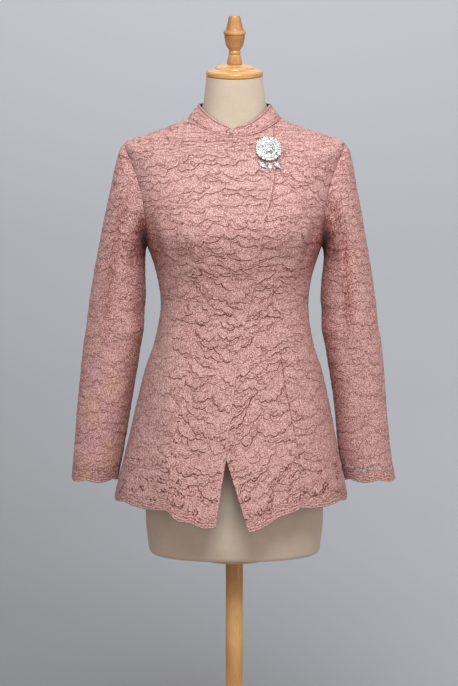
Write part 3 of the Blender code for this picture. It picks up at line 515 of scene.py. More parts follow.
# ------------------------------------------------------------------ dress form: cap and finial
# The turned beech cap closes the neck and the finial is screwed through its middle; both
# lean forward with the neck and have the same clear varnish as the stand.
NECK_LEAN = math.radians(9)
CAP_CENTRE = Vector((0, -6.5, 1459.3))
CAP_PROFILE = (
    (49, 0), (50.2, 1.5), (50.4, 4), (50.2, 6.5), (48.6, 8.8), (44, 10.8), (37, 12.6),
    (35.6, 13.0), (34.6, 15.2), (28, 17.6), (22, 19.4), (14, 20.5),
)
FINIAL_PROFILE = (
    (13.6, 0), (12.6, 8), (11.2, 15), (9.6, 16.2), (9.8, 17.2), (10.6, 18.6), (10.6, 21.6),
    (9.4, 23.4), (11.2, 26.2), (14, 29.7), (15.6, 33), (16.6, 37), (17.6, 43), (18.2, 48),
    (18.2, 51.2), (19.5, 52.4), (19.9, 54), (19.9, 56), (19, 57.2), (16, 60), (14, 66),
    (12.3, 73), (11, 80), (9.5, 84.2), (5, 85.5),
)
leaning = Matrix.Translation(CAP_CENTRE) @ Matrix.Rotation(NECK_LEAN, 4, "X")
cap_beech = varnished_beech("beech_cap", "x", (0.68, 0.395, 0.14, 1), (0.48, 0.225, 0.065, 1))
turned("form_cap", CAP_PROFILE, cap_beech, "neck_cap", leaning, edge=0.5)
on_cap = leaning @ Matrix.Translation((0, 0, CAP_PROFILE[-1][1] + GLUE_LINE))
finial_beech = varnished_beech("beech_finial", "z", (0.64, 0.345, 0.125, 1), (0.36, 0.15, 0.042, 1))
turned("form_finial", FINIAL_PROFILE, finial_beech, "finial", on_cap, steps=64, edge=0.35)

# ------------------------------------------------------------------ blouse: back
# Dusty rose corded lace: a dense knitted ground with overlapping scalloped petals, each
# outlined by a raised cord.  The back is cut in one piece, from side seam to side seam.
WEAVE = 1.7  # the mesh's points lie this far apart on the cloth
SEAM = 0.3
SCALLOP = 4.5  # depth of the border's scallops
EDGE_TURN = 1.2  # every raw edge is turned in by this much under the cloth

# Soft folds of the cloth, each a ridge, or a trough where its height is negative, that runs
# between two points of the body and changes its height on the way.
FOLDS = Table(
    "top_angle top_z low_angle low_z width top_height low_height",
    (
        ("armpit_trough_right", -55, 1185, -53, 1080, 5.0, -2.5, 0),
        ("armpit_ridge_right", -46, 1180, -47, 1100, 5.0, 2.5, 0),
        ("armpit_trough_left", 53, 1180, 51, 1075, 5.0, -3, 0),
        ("armpit_ridge_left", 44, 1178, 45, 1085, 5.0, 3, 0),
        ("hip_flute_right", -68, 930, -63, 690, 10, 0, 5),
        ("hip_trough_right", -45, 900, -42, 690, 9, 0, -4),
        ("hip_trough_left", 40, 900, 40, 690, 9, 0, -4),
        ("hip_flute_left", 66, 930, 60, 690, 10, 0, 5),
        ("back_flute_right", -115, 950, -118, 690, 9, 0, 6),
        ("back_trough_right", -136, 930, -138, 690, 9, 0, -6),
        ("back_flute_near_right", -157, 960, -158, 690, 9, 0, 6),
        ("back_trough_centre", 180, 980, 181, 690, 10, 0, -5),
        ("back_flute_near_left", 159, 960, 157, 690, 9, 0, 6),
        ("back_trough_left", 138, 930, 136, 690, 9, 0, -6),
        ("back_flute_left", 117, 950, 115, 690, 9, 0, 6),
        ("waist_fold_right", -152, 1080, -150, 1010, 7, 0, 2.5),
        ("waist_fold_left", 152, 1080, 150, 1010, 7, 0, 2.5),
    ),
)


def fold_height(angle, z):
    """Height of the folds over the body, at an angle and a height."""
    degrees = np.degrees(angle)
    total = np.zeros_like(degrees)
    for top_angle, top_z, low_angle, low_z, width, top_height, low_height in FOLDS.sizes:
        way = np.clip((top_z - z) / (top_z - low_z), 0, 1)
        middle = top_angle + (low_angle - top_angle) * way
        away = (degrees - middle + 180) % 360 - 180
        height = top_height + (low_height - top_height) * blend(0, 1, way)
        height = height * blend(top_z + 40, top_z, z)
        total = total + height * np.exp(-((away / width) ** 2))
    return total


# The hem of the fronts: places across it, then its height at each.  The two front corners
# hang lowest.
HEM_LINE = (
    (-200, -172, -117, -95, -60, -34, 25, 48, 65, 90, 115, 180, 200),
    (707, 706, 701, 688, 680, 676, 668, 680, 687, 701, 705, 708, 708),
)
HEM_BACK_Z = 708.0

# Upright lines of the front: heights from the hem upwards, then x at each.  They are the
# princess seams, the free edge of the overlap and the hidden edge under it.
PRINCESS = (
    (700, 760, 808, 860, 905, 970, 1020, 1066, 1110, 1150, 1182, 1208, 1226, 1240),
    (119, 114, 111, 100, 90, 80, 71, 66, 68, 77, 88, 112, 138, 163),
)
OVERLAP = (
    (673, 794, 887, 947, 1008, 1061, 1105, 1149, 1176, 1210, 1240, 1261, 1291, 1303, 1352),
    (-34, -15, -4, 5, 14, 27, 37, 44, 47, 52, 61, 66, 70, 72, 68),
)
UNDERLAP = ((666, 794, 900, 1000, 1140, 1290, 1352), (25, -15, -40, -35, -15, -5, -4))


def hem_level(angle, scallops):
    """Level of the hem, with the border's scallops given as a drop in millimetres."""
    x = body(angle, np.full_like(angle, HEM))[..., 0]
    z = np.where(np.cos(angle) > 0, np.interp(x, *HEM_LINE), HEM_BACK_Z)
    return level_at(z - scallops)


def true_level(row, angle, scallops=0.0):
    """Rows count from the hem: they follow it below the waist and are levels above."""
    low = hem_level(angle, scallops)
    part = (row - HEM) / (WAIST - HEM)
    return np.where(row < WAIST, low + part * (WAIST - low), row)


def angle_at(row, line, side=1):
    """Angle at which a row of the front meets an upright line."""
    low = np.full(np.shape(row), math.radians(-80.0))
    high = -low
    for _ in range(40):
        middle = (low + high) / 2
        point = body(middle, true_level(row, middle))
        beyond = point[..., 0] > side * np.interp(point[..., 2], *line)
        high = np.where(beyond, middle, high)
        low = np.where(beyond, low, middle)
    return (low + high) / 2


def armhole_angle(turn):
    """Angle of the left armhole's edge round the body."""
    spread = np.where(np.sin(turn) > 0, -ARMHOLE_FRONT, ARMHOLE_BACK)
    return math.pi / 2 + spread * np.abs(np.sin(turn)) ** 0.8


def armhole_turn(level):
    """Turn of the armhole's front edge at a level, 180 degrees at the underarm."""
    turns = np.linspace(math.pi, 0, 200)
    return np.interp(level, armhole_level(turns), turns)


PRINCESS_TOP = float(level_at(PRINCESS[0][-1]))
PRINCESS_TURN = float(armhole_turn(PRINCESS_TOP))


def kept_back(angle, row):
    """Angle by which an edge keeps back to leave its half of the seam's gap."""
    width = np.linalg.norm(body(angle + NUDGE, row) - body(angle - NUDGE, row), axis=-1)
    return SEAM / 2 * 2 * NUDGE / width


def princess_angle(row, side):
    """Angle of a princess seam from the centre front, brought to the armhole at its top."""
    angle = np.abs(angle_at(row, PRINCESS, side))
    top = np.abs(angle_at(np.array(PRINCESS_TOP), PRINCESS, side))
    return angle + (armhole_angle(PRINCESS_TURN) - top) * blend(PRINCESS_TOP - 1, PRINCESS_TOP, row)


def front_edge(row, side):
    """Outer edge of a centre front: princess seam, then armhole, then shoulder seam."""
    seam = princess_angle(np.minimum(row, PRINCESS_TOP), side)
    hole = armhole_angle(armhole_turn(np.clip(row, PRINCESS_TOP, TIP)))
    edge = np.where(row < PRINCESS_TOP, seam, np.where(row < TIP, hole, math.pi / 2))
    return edge - kept_back(edge, row)


def back_edge(row):
    """Edge of the back from the centre front: side seam, then armhole, then shoulder seam."""
    hole = armhole_angle(-armhole_turn(np.clip(row, ARMPIT, TIP)))
    edge = np.where((row > ARMPIT) & (row < TIP), hole, math.pi / 2)
    return edge + kept_back(edge, row)


def flat_place(points):
    """Flat coordinates of a piece's grid: along its rows and up its columns from the hem."""
    along = np.linalg.norm(np.diff(points, axis=1), axis=2)
    along = np.pad(np.cumsum(along, axis=1), ((0, 0), (1, 0)))
    middle = points.shape[1] // 2
    up = np.linalg.norm(np.diff(points, axis=0), axis=2)
    up = np.pad(np.cumsum(up, axis=0), ((1, 0), (0, 0)))
    return along - along[:, middle : middle + 1], up


# What the cloth carries at every point, with its value on bare cloth: the distances in from the
# nearest petal's edge and from a hole's, the strength of the line there, which sets its painted
# shadow and highlight, the petal's tone, how much painted shade darkens the ground, how much pale
# net shows, and a colour cast.
BARE = {"edge": 4.0, "line": 0.0, "tone": 0.0, "hole": -4.0, "open": 0.0, "net": 0.0, "cast": 0.0}
LEAST_HOLD = 0.12  # a shape that grips less than this leaves no mark
BESIDE = 4.5  # how far outside a shape's edge its line still shows
DENT = 2.4  # width of the dent pressed in beside a shape


class Lace:
    """The lace of one piece, at every point of its cloth: relief, cords, petals and holes."""

    def __init__(self, points, seed):
        self.points = points
        self.across, self.up = flat_place(points)
        self.chance = np.random.default_rng(seed)
        self.height = np.zeros(self.up.shape)
        for what, value in BARE.items():
            setattr(self, what, np.full(self.up.shape, value))
        self.waiting = []

    def spread(self, width):
        return self.chance.uniform(-width, width)

    def close_to(self, x, y, reach_x, reach_y):
        """Which points lie within reach of a place."""
        return (np.abs(self.across - x) < reach_x) & (np.abs(self.up - y) < reach_y)

    def turned(self, near, x, y, lean):
        """Places of the near points as seen from x and y, turned by a lean."""
        right, above = self.across[near] - x, self.up[near] - y
        turned_x = right * math.cos(lean) + above * math.sin(lean)
        return turned_x, above * math.cos(lean) - right * math.sin(lean)

    def sew(self, near, inside, hold, show, lift, tone=0.0):
        """Lay a shape on: inside is the distance in from its edge, hold its grip by place."""
        edge, line, height = self.edge[near], self.line[near], self.height[near]
        on = (inside > 0) & (hold > LEAST_HOLD)
        beside = (inside <= 0) & (inside > -BESIDE) & (hold > LEAST_HOLD) & (-inside < np.abs(edge))
        pile = lift * hold * (1 - np.exp(-np.maximum(inside, 0) / 0.8))
        pile = pile * (0.3 + 0.7 * np.exp(-np.maximum(inside, 0) / 6))
        self.edge[near] = np.where(on | beside, inside, edge)
        self.line[near] = np.where(on | beside, show * hold, line)
        dented = beside & (inside > -DENT)
        self.height[near] = np.where(on, 0.35 * height + pile, height - 0.15 * dented * hold)
        self.tone[near] = np.where(on, tone, self.tone[near])

    def petal(self, x, y, wide, tall, lean, lobes, lobe, show, lift, whole=False):
        """A petal of those half sizes that hangs down from its middle, with a lobed edge."""
        reach = max(wide, tall) + 5
        near = self.close_to(x, y, reach, reach)
        if not near.any():
            return
        px, py = self.turned(near, x, y, lean)
        px, py = px / wide, py / tall
        ring = np.hypot(px, py) + 1e-6
        turn = np.arctan2(px, -py)
        rim = 1 - lobe * (1 - np.abs(np.cos(lobes * turn / 2)))
        inside = (rim - ring) * ring / np.hypot(px / wide, py / tall)
        fall = blend(0, 1, (-py / ring + 0.05) / 0.6)
        hold = np.ones_like(fall) if whole else fall
        self.sew(near, inside, hold, show, lift, self.chance.uniform(-1, 1))

    def chain(self, x, y, arc, arcs, sag, tall, lean, show, lift):
        """A long petal with a row of arcs for its lower edge, that sags between its ends."""
        arcs = round(arcs)
        half = arc * arcs / 2
        near = self.close_to(x, y, half + 4, half * 0.6 + tall)
        if not near.any():
            return
        px, py = self.turned(near, x, y, lean)
        start = self.chance.uniform(0, 6.28)
        stray = px + 0.13 * arc * np.sin(px / arc * 3.7 + start)
        within = ((stray / arc + arcs / 2) % 1.0) * 2 - 1
        deep = 0.27 * arc * (1 + 0.3 * np.sin(px / arc * 2.1 + start))
        low = -deep * (1 - within**2) + sag * (px / half) ** 2
        slope = 4 * deep * within / arc + 2 * sag * px / half**2
        inside = (py - low) / np.sqrt(1 + slope**2)
        ends = np.clip((1 - np.abs(px) / half) / 0.18, 0, 1)
        hold = ends * np.clip((tall - inside) / (0.5 * tall), 0, 1)
        self.sew(near, inside, hold, show, lift, self.chance.uniform(-1, 1))

    def fan(self, x, y, wide, tall, lean, lobes, show, lift):
        """A large motif: a lobed fan with smaller petals spread inside it."""
        lobes = round(lobes)
        self.petal(x, y, wide, tall, lean, 2 * lobes, 0.14, show, lift)
        for turn in np.linspace(-1.15, 1.15, max(3, lobes - 2)):
            turn += self.spread(0.12)
            out_x, out_y = math.sin(turn) * wide * 0.5, -math.cos(turn) * tall * 0.46
            place = (x + out_x - out_y * math.sin(lean), y + out_y)
            size = (wide * 0.19, tall * 0.42)
            self.petal(*place, *size, turn * 0.9 + lean, 0, 0, show * 0.25, lift * 0.5)
        size = (wide * 0.25, tall * 0.3)
        self.petal(x, y + 0.1 * tall, *size, lean, 6, 0.1, show * 0.35, lift * 0.6, whole=True)

    def cord(self, off_line, half_width, show, lift):
        """A cord that runs along the cloth; off_line is the distance from its middle."""
        near = np.abs(off_line) < half_width + 3
        inside = half_width - np.abs(off_line[near])
        self.sew(near, inside, np.ones_like(inside), show, lift)

    def pierce(self, x, y, wide, tall, lean=0.0, through=True):
        """A small opening between the threads: cut right through with painted shade round it, or,
        when not through, only a dark spot of painted shade.
        """
        near = self.close_to(x, y, 8, 8)
        px, py = self.turned(near, x, y, lean)
        reach = np.hypot(px / wide, py / tall)
        if through:
            self.hole[near] = np.maximum(self.hole[near], (1 - reach) * min(wide, tall))
            # painted shade round the cut hole
            darkened = 0.6 * np.clip(1.9 - reach, 0, 1)
        else:
            # no cut: a dark spot of painted shade stands in for the opening
            darkened = 1.3 * np.clip((1.6 - reach) / 0.7, 0, 1)
        self.open[near] = np.maximum(self.open[near], darkened)

    def scatter(self, kind, step_x, step_y, sizes, share, loose=0.33):
        """Put shapes of one kind on a loose lattice; share is the part kept, by height."""
        rows = np.arange(self.up.min() - 20, self.up.max() + 25, step_y)
        for number, y in enumerate(rows):
            start = self.across.min() - 20 + (number % 2) * step_x / 2
            for x in np.arange(start, self.across.max() + 25, step_x):
                place = (x + self.spread(loose * step_x), y + self.spread(loose * step_y))
                luck = self.chance.uniform()
                drawn = {name: self.chance.uniform(*span) for name, span in sizes.items()}
                if luck < share(place[1]):
                    self.waiting.append((place[1], place[0], kind, drawn))

    def finish(self):
        """Sew what waits on the lattices from the bottom up, so that upper petals lap over."""
        kinds = {"petal": self.petal, "chain": self.chain, "fan": self.fan}
        for y, x, kind, drawn in sorted(self.waiting, key=lambda item: item[0]):
            kinds[kind](x, y, **drawn)


def facing(points, side, closed=False):
    """Unit normals of a grid of points; a closed one runs on round its last column."""
    rise, run = np.gradient(points, axis=0), np.gradient(points, axis=1)
    if closed:
        run[:, 0] = run[:, -1] = (points[:, 1] - points[:, -2]) / 2
    normal = np.cross(run, rise) * side
    return normal / np.linalg.norm(normal, axis=2, keepdims=True)


def evenly(line, last, step=WEAVE, tries=700, more=1):
    """Numbers from 0 to last at which points of a line lie an even step apart."""
    tried = np.linspace(0, last, tries)
    run = np.linalg.norm(np.diff(line(tried), axis=0), axis=1)
    length = np.concatenate(((0,), np.cumsum(run)))
    count = round(length[-1] / step) + more
    return np.interp(np.linspace(0, length[-1], count), length, tried)


def body_grid(angle, level, drop=0.0, side=1):
    """Outer face of the cloth on the filled-out body, with its soft folds."""
    base = body(angle, level)
    lift = fold_height(angle, base[..., 2]) - drop
    return base + facing(base, side) * lift[..., None]


UNDERARM = (150, -38, 1160)  # middle of the painted shade under the arm: out from the centre, y and z
UNDERARM_REACH = (46, 60, 60)
ARM_FOLD = (161, 1176)  # middle of the painted shade in the crease against the sleeve: out from the centre and z
ARM_FOLD_REACH = (8, 34)


def underarm(points):
    """Painted shade under the arms, darkest in the crease there: how much the ground is darkened.
    """
    x, y, z = np.abs(points[..., 0]), points[..., 1], points[..., 2]
    pairs = zip((x, y, z), UNDERARM, UNDERARM_REACH)
    away = np.sqrt(sum(((at - middle) / reach) ** 2 for at, middle, reach in pairs))
    slanted = x + (1180 - z) * 0.06
    pairs = zip((slanted, z), ARM_FOLD, ARM_FOLD_REACH)
    crease = np.sqrt(sum(((at - middle) / reach) ** 2 for at, middle, reach in pairs))
    return 0.5 * np.exp(-(away**2)) + 0.45 * np.exp(-(crease**2)) * blend(60, 20, y)


def flank(points):
    """Painted shade down the sides of the body: how much the ground is darkened there."""
    x, z = np.abs(points[..., 0]), points[..., 2]
    half_width = 130 + np.abs(z - 1010) * 0.12
    return 0.17 * blend(0.6, 1.1, x / half_width) * blend(1200, 1120, z)


RAW_EDGE = 1.5  # how deep under the cloth the raw edge lies
# the turned-in edges get painted shade, a darker ground where they tuck under
TURNED_LACE = {**BARE, "open": 0.6}


def with_turned_edges(count):
    """Points along one direction of a sheet, edges turned in: which point, and how deep."""
    pick = np.concatenate(((3, 0), np.arange(count), (-1, -4)))
    deep = np.concatenate(((RAW_EDGE, EDGE_TURN), np.zeros(count), (EDGE_TURN, RAW_EDGE)))
    return pick, deep


def sheet(node, lace, flat, area, side=1, held="draped", closed=False):
    """A piece of lace: its grid of points raised by the lace, its edges turned in.

    flat and area, the cut of what shows in metres, are not used; a closed sheet meets its own side."""
    points = lace.points
    # painted shade under the arms darkens the ground
    lace.open = np.maximum(lace.open, underarm(points))
    normal = facing(points, side, closed)
    raised = points + normal * lace.height[..., None]
    rows, columns = points.shape[:2]
    pick_row, deep_row = with_turned_edges(rows)
    if closed:
        pick_column, deep_column = np.arange(columns), np.zeros(columns)
        pick_column[-1] = 0
    else:
        pick_column, deep_column = with_turned_edges(columns)
    at = np.ix_(pick_row, pick_column)
    deep = np.maximum(deep_row[:, None], deep_column[None, :])
    sunk = points[at] - normal[at] * deep[..., None]
    place = np.where(deep[..., None] > 0, sunk, raised[at]) * MM
    sewn = {what: np.where(deep > 0, TURNED_LACE[what], getattr(lace, what)[at]) for what in BARE}
    high, wide = deep.shape
    bm = bmesh.new()
    bmesh.ops.create_grid(bm, x_segments=wide - 1, y_segments=high - 1, size=0.5)
    bmesh.ops.translate(bm, vec=(0.5, 0.5, 0), verts=bm.verts)
    bmesh.ops.scale(bm, vec=(wide - 1, high - 1, 1), verts=bm.verts)
    layers = {what: bm.verts.layers.float.new(what) for what in BARE}
    cells = {vert: (round(vert.co.y), round(vert.co.x)) for vert in bm.verts}
    for vert, cell in cells.items():
        vert.co = place[cell]
        for what, layer in layers.items():
            vert[layer] = sewn[what][cell]
    if not closed:
        end_rows, end_columns = (0, 1, high - 2, high - 1), (0, 1, wide - 2, wide - 1)
        spare = [v for v in bm.verts if cells[v][0] in end_rows and cells[v][1] in end_columns]
        bmesh.ops.delete(bm, geom=spare, context="VERTS")
    bmesh.ops.remove_doubles(bm, verts=[v for v in bm.verts if v.is_boundary], dist=0.000001)
    if side < 0:
        bmesh.ops.reverse_faces(bm, faces=bm.faces)
    piece = keep("lace_" + node, bm, rose_lace, [node], sharp=180)


ROSE = (0.525, 0.222, 0.180)  # the yarn's own colour


def corded_lace():
    """Corded lace: speckled knit, painted shadow lines where petals overlap, cords beside them
    lightened by a painted highlight, and painted shade in the ground.
    """
    fixed = {"Sheen Weight": 0.06, "Sheen Roughness": 0.4, "Specular IOR Level": 0.3}
    material, place, shader = new_finish("rose_lace", fixed)

    def sewn(what):
        return place.node("ShaderNodeAttribute", {"attribute_name": what}, {}, "Fac")

    def shares(red, green, blue):
        """The rose of the yarn with its red, green and blue changed by these shares."""
        return ROSE[0] * red, ROSE[1] * green, ROSE[2] * blue, 1

    mauve, straw, pale_net = (0.46, 0.24, 0.33, 1), (0.64, 0.40, 0.18, 1), (0.62, 0.55, 0.53, 1)
    kinds = ("line", "tone", "open", "net", "cast")
    line, tone, painted_shade, net, cast = [sewn(what) for what in kinds]
    edge = sewn("edge") + (place.noise(480.0, 1.0) - 0.5) * 0.8
    # painted shadow: a dark line just outside each raised petal edge
    painted_groove_shadow = edge.step(-1.9, -1.0) * edge.step(0.4, -0.25) * line
    # painted shadow: a softer dark band below that line
    under = edge.step(-4.2, -0.6) * edge.step(0.2, -0.4) * line
    # painted highlight on the raised cord just inside the edge
    cord = edge.step(0.1, 0.8) * edge.step(2.5, 1.1) * line
    patch = place.noise(30.0, 2.0).step(0.3, 0.7)
    knit = place.noise(600.0, 2.0).step(0.32, 0.68)
    fine_gaps = place.noise(720.0, 1.0).step(0.46, 0.30) * 0.7
    wide_gaps = (place.cells(560.0) + painted_shade * 0.3 + patch * 0.05).step(0.72, 0.86)
    # dark streaks where painted shade lies, and in the pale net band
    streaks_in_shade_and_net = painted_shade.step(0.04, 0.42).most(net.step(0.05, 0.35) * net.step(0.6, 0.4) * 0.6)
    drawn = place.scaled(1, 1, 0.28).noise(500.0, 1.0).step(0.51, 0.36) * streaks_in_shade_and_net
    gaps = fine_gaps.most(wide_gaps * (painted_shade * 0.5 + 0.6)).most(drawn)
    # painted shade and the shadow band darken the knit's speckle
    shade = knit * 1.05 + tone * 0.04 + patch * 0.08 - painted_shade * 0.2 - under * 0.2 + 0.02
    finished = shade.step(-0.3, 1.3).between(shares(0.5, 0.315, 0.305), shares(1.6, 2.4, 2.72))
    # painted highlight on the cords
    finished = (cord * 0.25).between(finished, shares(1.6, 2.15, 2.35))
    finished = (net * 0.6).between(finished, pale_net)
    finished = (cast.most(0.0) * 0.26).between(finished, mauve)
    finished = ((-1 * cast).most(0.0) * 0.26).between(finished, straw)
    # painted shade: darker red where the open attribute is high
    finished = (painted_shade.step(0.05, 0.7) * 0.7).between(finished, shares(0.64, 0.27, 0.24))
    finished = gaps.between(finished, shares(0.26, 0.12, 0.11))
    finished = painted_groove_shadow.least(0.95).between(finished, shares(0.22, 0.085, 0.07))
    # deepest painted shade and the dark painted eyelets, in dark grey
    finished = painted_shade.step(0.45, 1.1).between(finished, shares(0.11, 0.2, 0.24))
    alpha = 1 - sewn("hole").step(-0.12, 0.12)
    relief = knit * 0.35 + cord * 0.6 - painted_groove_shadow * 0.9 - gaps * 0.5
    rough = 0.54 - cord * 0.1 + painted_shade * 0.4
    feed(shader, colour=finished, rough=rough, alpha=alpha, normal=relief.bump(0.5, 0.0010))
    return material


BACK_SCALLOPS = 10
BORDER_TOP = 3.0  # the level at which the hem's scallops have faded out
# The border's upper cords: height, half width, how far they swing, and length of their wave.
BORDER_CORDS = ((6.4, 1.3, 0.9, 1.0), (12.0, 1.4, 1.5, 0.9), (18.4, 1.2, 2.2, 1.15))
rose_lace = corded_lace()


def scallop_drop(part, row, count):
    """Drop of the border's edge, from nothing at its cusps, fading out above the border."""
    return SCALLOP * np.abs(np.sin(math.pi * count * part)) * blend(BORDER_TOP, HEM, row)


def border(lace, wave=27.0):
    """The woven border of hem and cuffs: lengthwise cords that waver above the edge."""
    lace.cord(lace.up - 1.6, 1.2, 0.35, 0.7)
    for height, width, swing, pitch in BORDER_CORDS:
        waver = swing * np.sin(lace.across * 2 * math.pi / (wave * pitch) + height)
        lace.cord(lace.up - height - waver, width, 0.42, 0.6)


def eyelets(lace):
    """Small eyelets above the border, in arcs under the motifs and singly between them, painted as
    dark spots of shade, not cut.
    """
    step, low, high, share, seam_room = 19.0, 27, 88.0, 0.6, 18
    for y in np.arange(low, high, step):
        for x in np.arange(lace.across.min() + 8, lace.across.max() - 6, step):
            place_x, place_y = x + lace.spread(0.45 * step), y + lace.spread(0.45 * step)
            cell = np.argmin(np.hypot(lace.across - place_x, lace.up - place_y))
            sideways = abs(lace.points.reshape(-1, 3)[cell, 1]) < seam_room
            if sideways or lace.chance.uniform() > share:
                continue
            lean, reach = lace.spread(0.7), lace.chance.uniform(4.0, 8.5)
            for turn in np.linspace(-1.2, 1.2, 2 + int(reach / 1.9)):
                turn = turn + lean + lace.spread(0.12)
                size = lace.chance.uniform(0.65, 1.3)
                at = place_x + reach * math.sin(turn), place_y - reach * math.cos(turn)
                lace.pierce(*at, size * 0.8, size, -turn, through=False)
            size = lace.chance.uniform(0.9, 1.5)
            lace.pierce(place_x, place_y, size * 0.8, size, lean, through=False)


def chest_line(height):
    """Where the chest's pattern starts on a piece that reaches this height."""
    return height / 2 + 40


def dress_lace(lace, chest, scale=1.0, strong=1.0):
    """The main pattern: long chains over the chest, fans and slanting chains below it.

    scale changes the size of the motifs, strong the strength of their lines."""

    def above_bust(y):
        return 0.97 * (y > chest - 25)

    def below_bust(y):
        return 0.8 * (y < chest + 10)

    def small_share(y):
        return 0.08 if y > chest else 0.32

    def fan_share(y):
        return 0.1 if y > chest else 0.95

    small = {
        "wide": (5 * scale, 10 * scale), "tall": (4, 7), "lean": (-0.5, 0.5), "lobes": (1, 4),
        "lobe": (0, 0.08), "show": (0.25 * strong, 0.75 * strong), "lift": (0.3, 0.6),
    }
    chest_chain = {
        "arc": (18 * scale, 32 * scale), "arcs": (1.6, 3.6), "sag": (-6, 10), "tall": (12, 18),
        "lean": (-0.3, 0.3), "show": (0.4 * strong, 0.85 * strong), "lift": (0.5, 0.9),
    }
    hip_chain = {
        "arc": (12 * scale, 20 * scale), "arcs": (2.0, 4.6), "sag": (0, 15), "tall": (12, 19),
        "lean": (-0.45, 0.45), "show": (0.45 * strong, 1.2 * strong), "lift": (0.6, 1.2),
    }
    large = {
        "wide": (30, 48), "tall": (24, 38), "lean": (-0.6, 0.6), "lobes": (6, 9),
        "show": (0.9 * strong, 1.3 * strong), "lift": (0.9, 1.4),
    }
    lace.scatter("petal", 15 * scale, 8.5, small, small_share)
    lace.scatter("chain", 50 * scale, 15, chest_chain, above_bust, 0.26)
    lace.scatter("chain", 46 * scale, 15, hip_chain, below_bust, 0.3)
    lace.scatter("fan", 92, 66, large, fan_share)
    lace.finish()


def body_lace(points, seed, taller=0, scale=1.0, strong=1.0, thin=0, net=0.0):
    """Lace of a piece of the body: its pattern, then the painted shade down the flank, the border
    and the eyelets.

    taller is what a piece lacks of the full height; thin weakens its lines on the flank and
    net shows more of the pale net there."""
    lace = Lace(points, seed)
    dress_lace(lace, chest_line(lace.up.max() + taller), scale, strong)
    lace.open = flank(points)
    lace.line = lace.line * (1 - thin * lace.open)
    lace.net = net * lace.open
    border(lace)
    eyelets(lace)
    return lace


def rows_up(angle, step=WEAVE):
    """Rows from hem to neck, an even step apart along the line at this angle."""

    def line(row):
        around = np.full_like(row, angle)
        return body(around, true_level(row + HEM, around))

    return (HEM + evenly(line, NECK - HEM, step))[:, None]


row = rows_up(math.pi, 1.9)
part = np.linspace(0, 1, 250)[None, :]
edge_angle = back_edge(row)
angle = edge_angle + (2 * math.pi - 2 * edge_angle) * part
level = true_level(row, angle, scallop_drop(part, row, BACK_SCALLOPS))
sheet("back", body_lace(body_grid(angle, level), 11), (0.612, 0.820), 0.318)

# ------------------------------------------------------------------ blouse: side fronts
# Each side front runs from the princess seam to the side seam, with the front of the
# armhole for its top edge.  It is sewn to the back at the side seam.
FRONT_SCALLOPS = 2
HIP_ROWS = np.concatenate(
    ((HEM, 1.22, 1.45, 1.7, 2.0, 2.3, 2.65, 3.0), np.arange(3.5, WAIST, 0.5))
)
UPPER_ROWS = 9
seam_z = np.linspace(BODY.at("side_z", WAIST), PRINCESS[0][-1], 200)
seam_run = np.hypot(np.diff(np.interp(seam_z, *PRINCESS)), np.diff(seam_z))
seam_length = np.concatenate(((0,), np.cumsum(seam_run)))
seam_steps = np.linspace(0, seam_length[-1], UPPER_ROWS)
seam_levels = level_at(np.interp(seam_steps, seam_length, seam_z))
SIDE_SEAM_ROWS = np.concatenate((HIP_ROWS, np.linspace(WAIST, ARMPIT, UPPER_ROWS)))
PRINCESS_ROWS = np.concatenate((HIP_ROWS, seam_levels))
LAST_ROW = len(PRINCESS_ROWS) - 1
SIDE_CUTS = {"right": ((0.179, 0.614), 0.0723), "left": ((0.165, 0.609), 0.0695)}


def side_front(part, number, side):
    """Grid of a side front, from princess seam to side seam, topped by the armhole's edge."""
    seam_row = np.interp(number, np.arange(LAST_ROW + 1), PRINCESS_ROWS)
    side_row = np.interp(number, np.arange(LAST_ROW + 1), SIDE_SEAM_ROWS)
    seam = princess_angle(seam_row, side)
    seam = seam + kept_back(seam, seam_row)
    side_seam = math.pi / 2 - kept_back(math.pi / 2, side_row)
    turn = PRINCESS_TURN + (math.pi - PRINCESS_TURN) * part
    pull = (number / LAST_ROW) ** 5
    top_seam = float(armhole_angle(PRINCESS_TURN))
    bow = armhole_angle(turn) - top_seam - (math.pi / 2 - top_seam) * part
    rise = armhole_level(turn) - PRINCESS_TOP - (ARMPIT - PRINCESS_TOP) * part
    angle = seam + (side_seam - seam) * part + pull * bow
    row = seam_row + (side_row - seam_row) * part + pull * rise
    level = true_level(row, side * angle, scallop_drop(part, row, FRONT_SCALLOPS))
    return body_grid(side * angle, level, side=side)


for side, where in ((-1, "right"), (1, "left")):
    about_middle = np.full((1, 3), 0.5) + [[-0.01, 0, 0.01]]

    def middle_line(number):
        return side_front(about_middle, number[:, None], side)[:, 1]

    number = evenly(middle_line, LAST_ROW, tries=400, more=0)[:, None]
    points = side_front(np.linspace(0, 1, 66)[None, :], number, side)
    lace = body_lace(points, 23 + side, 160, 0.85, 0.8, thin=3, net=1.3 - 0.8 * side)
    if side > 0:
        # The ground beside the princess seam is painted darker between these heights.
        darker_heights = blend(1010, 970, points[..., 2]) * blend(850, 890, points[..., 2])
        by_seam = blend(3.4, 1.2, lace.across - lace.across[:, :1])
        lace.open = np.maximum(lace.open, 0.35 * darker_heights * by_seam)
    sheet(f"front_{where}_side", lace, *SIDE_CUTS[where], side)

# ------------------------------------------------------------------ blouse: left centre front
# The wearer's left centre front, from the princess seam across the centre front; its inner
# part lies under the right front, hooked to it beneath the brooch.
LAP_STEP = 1.8  # how far the hidden part lies below the right front
LAP_FADE = 16.0  # it starts to sink this far outside the overlap's edge
LAP_MARGIN = 4.0  # and has sunk that far this close to it

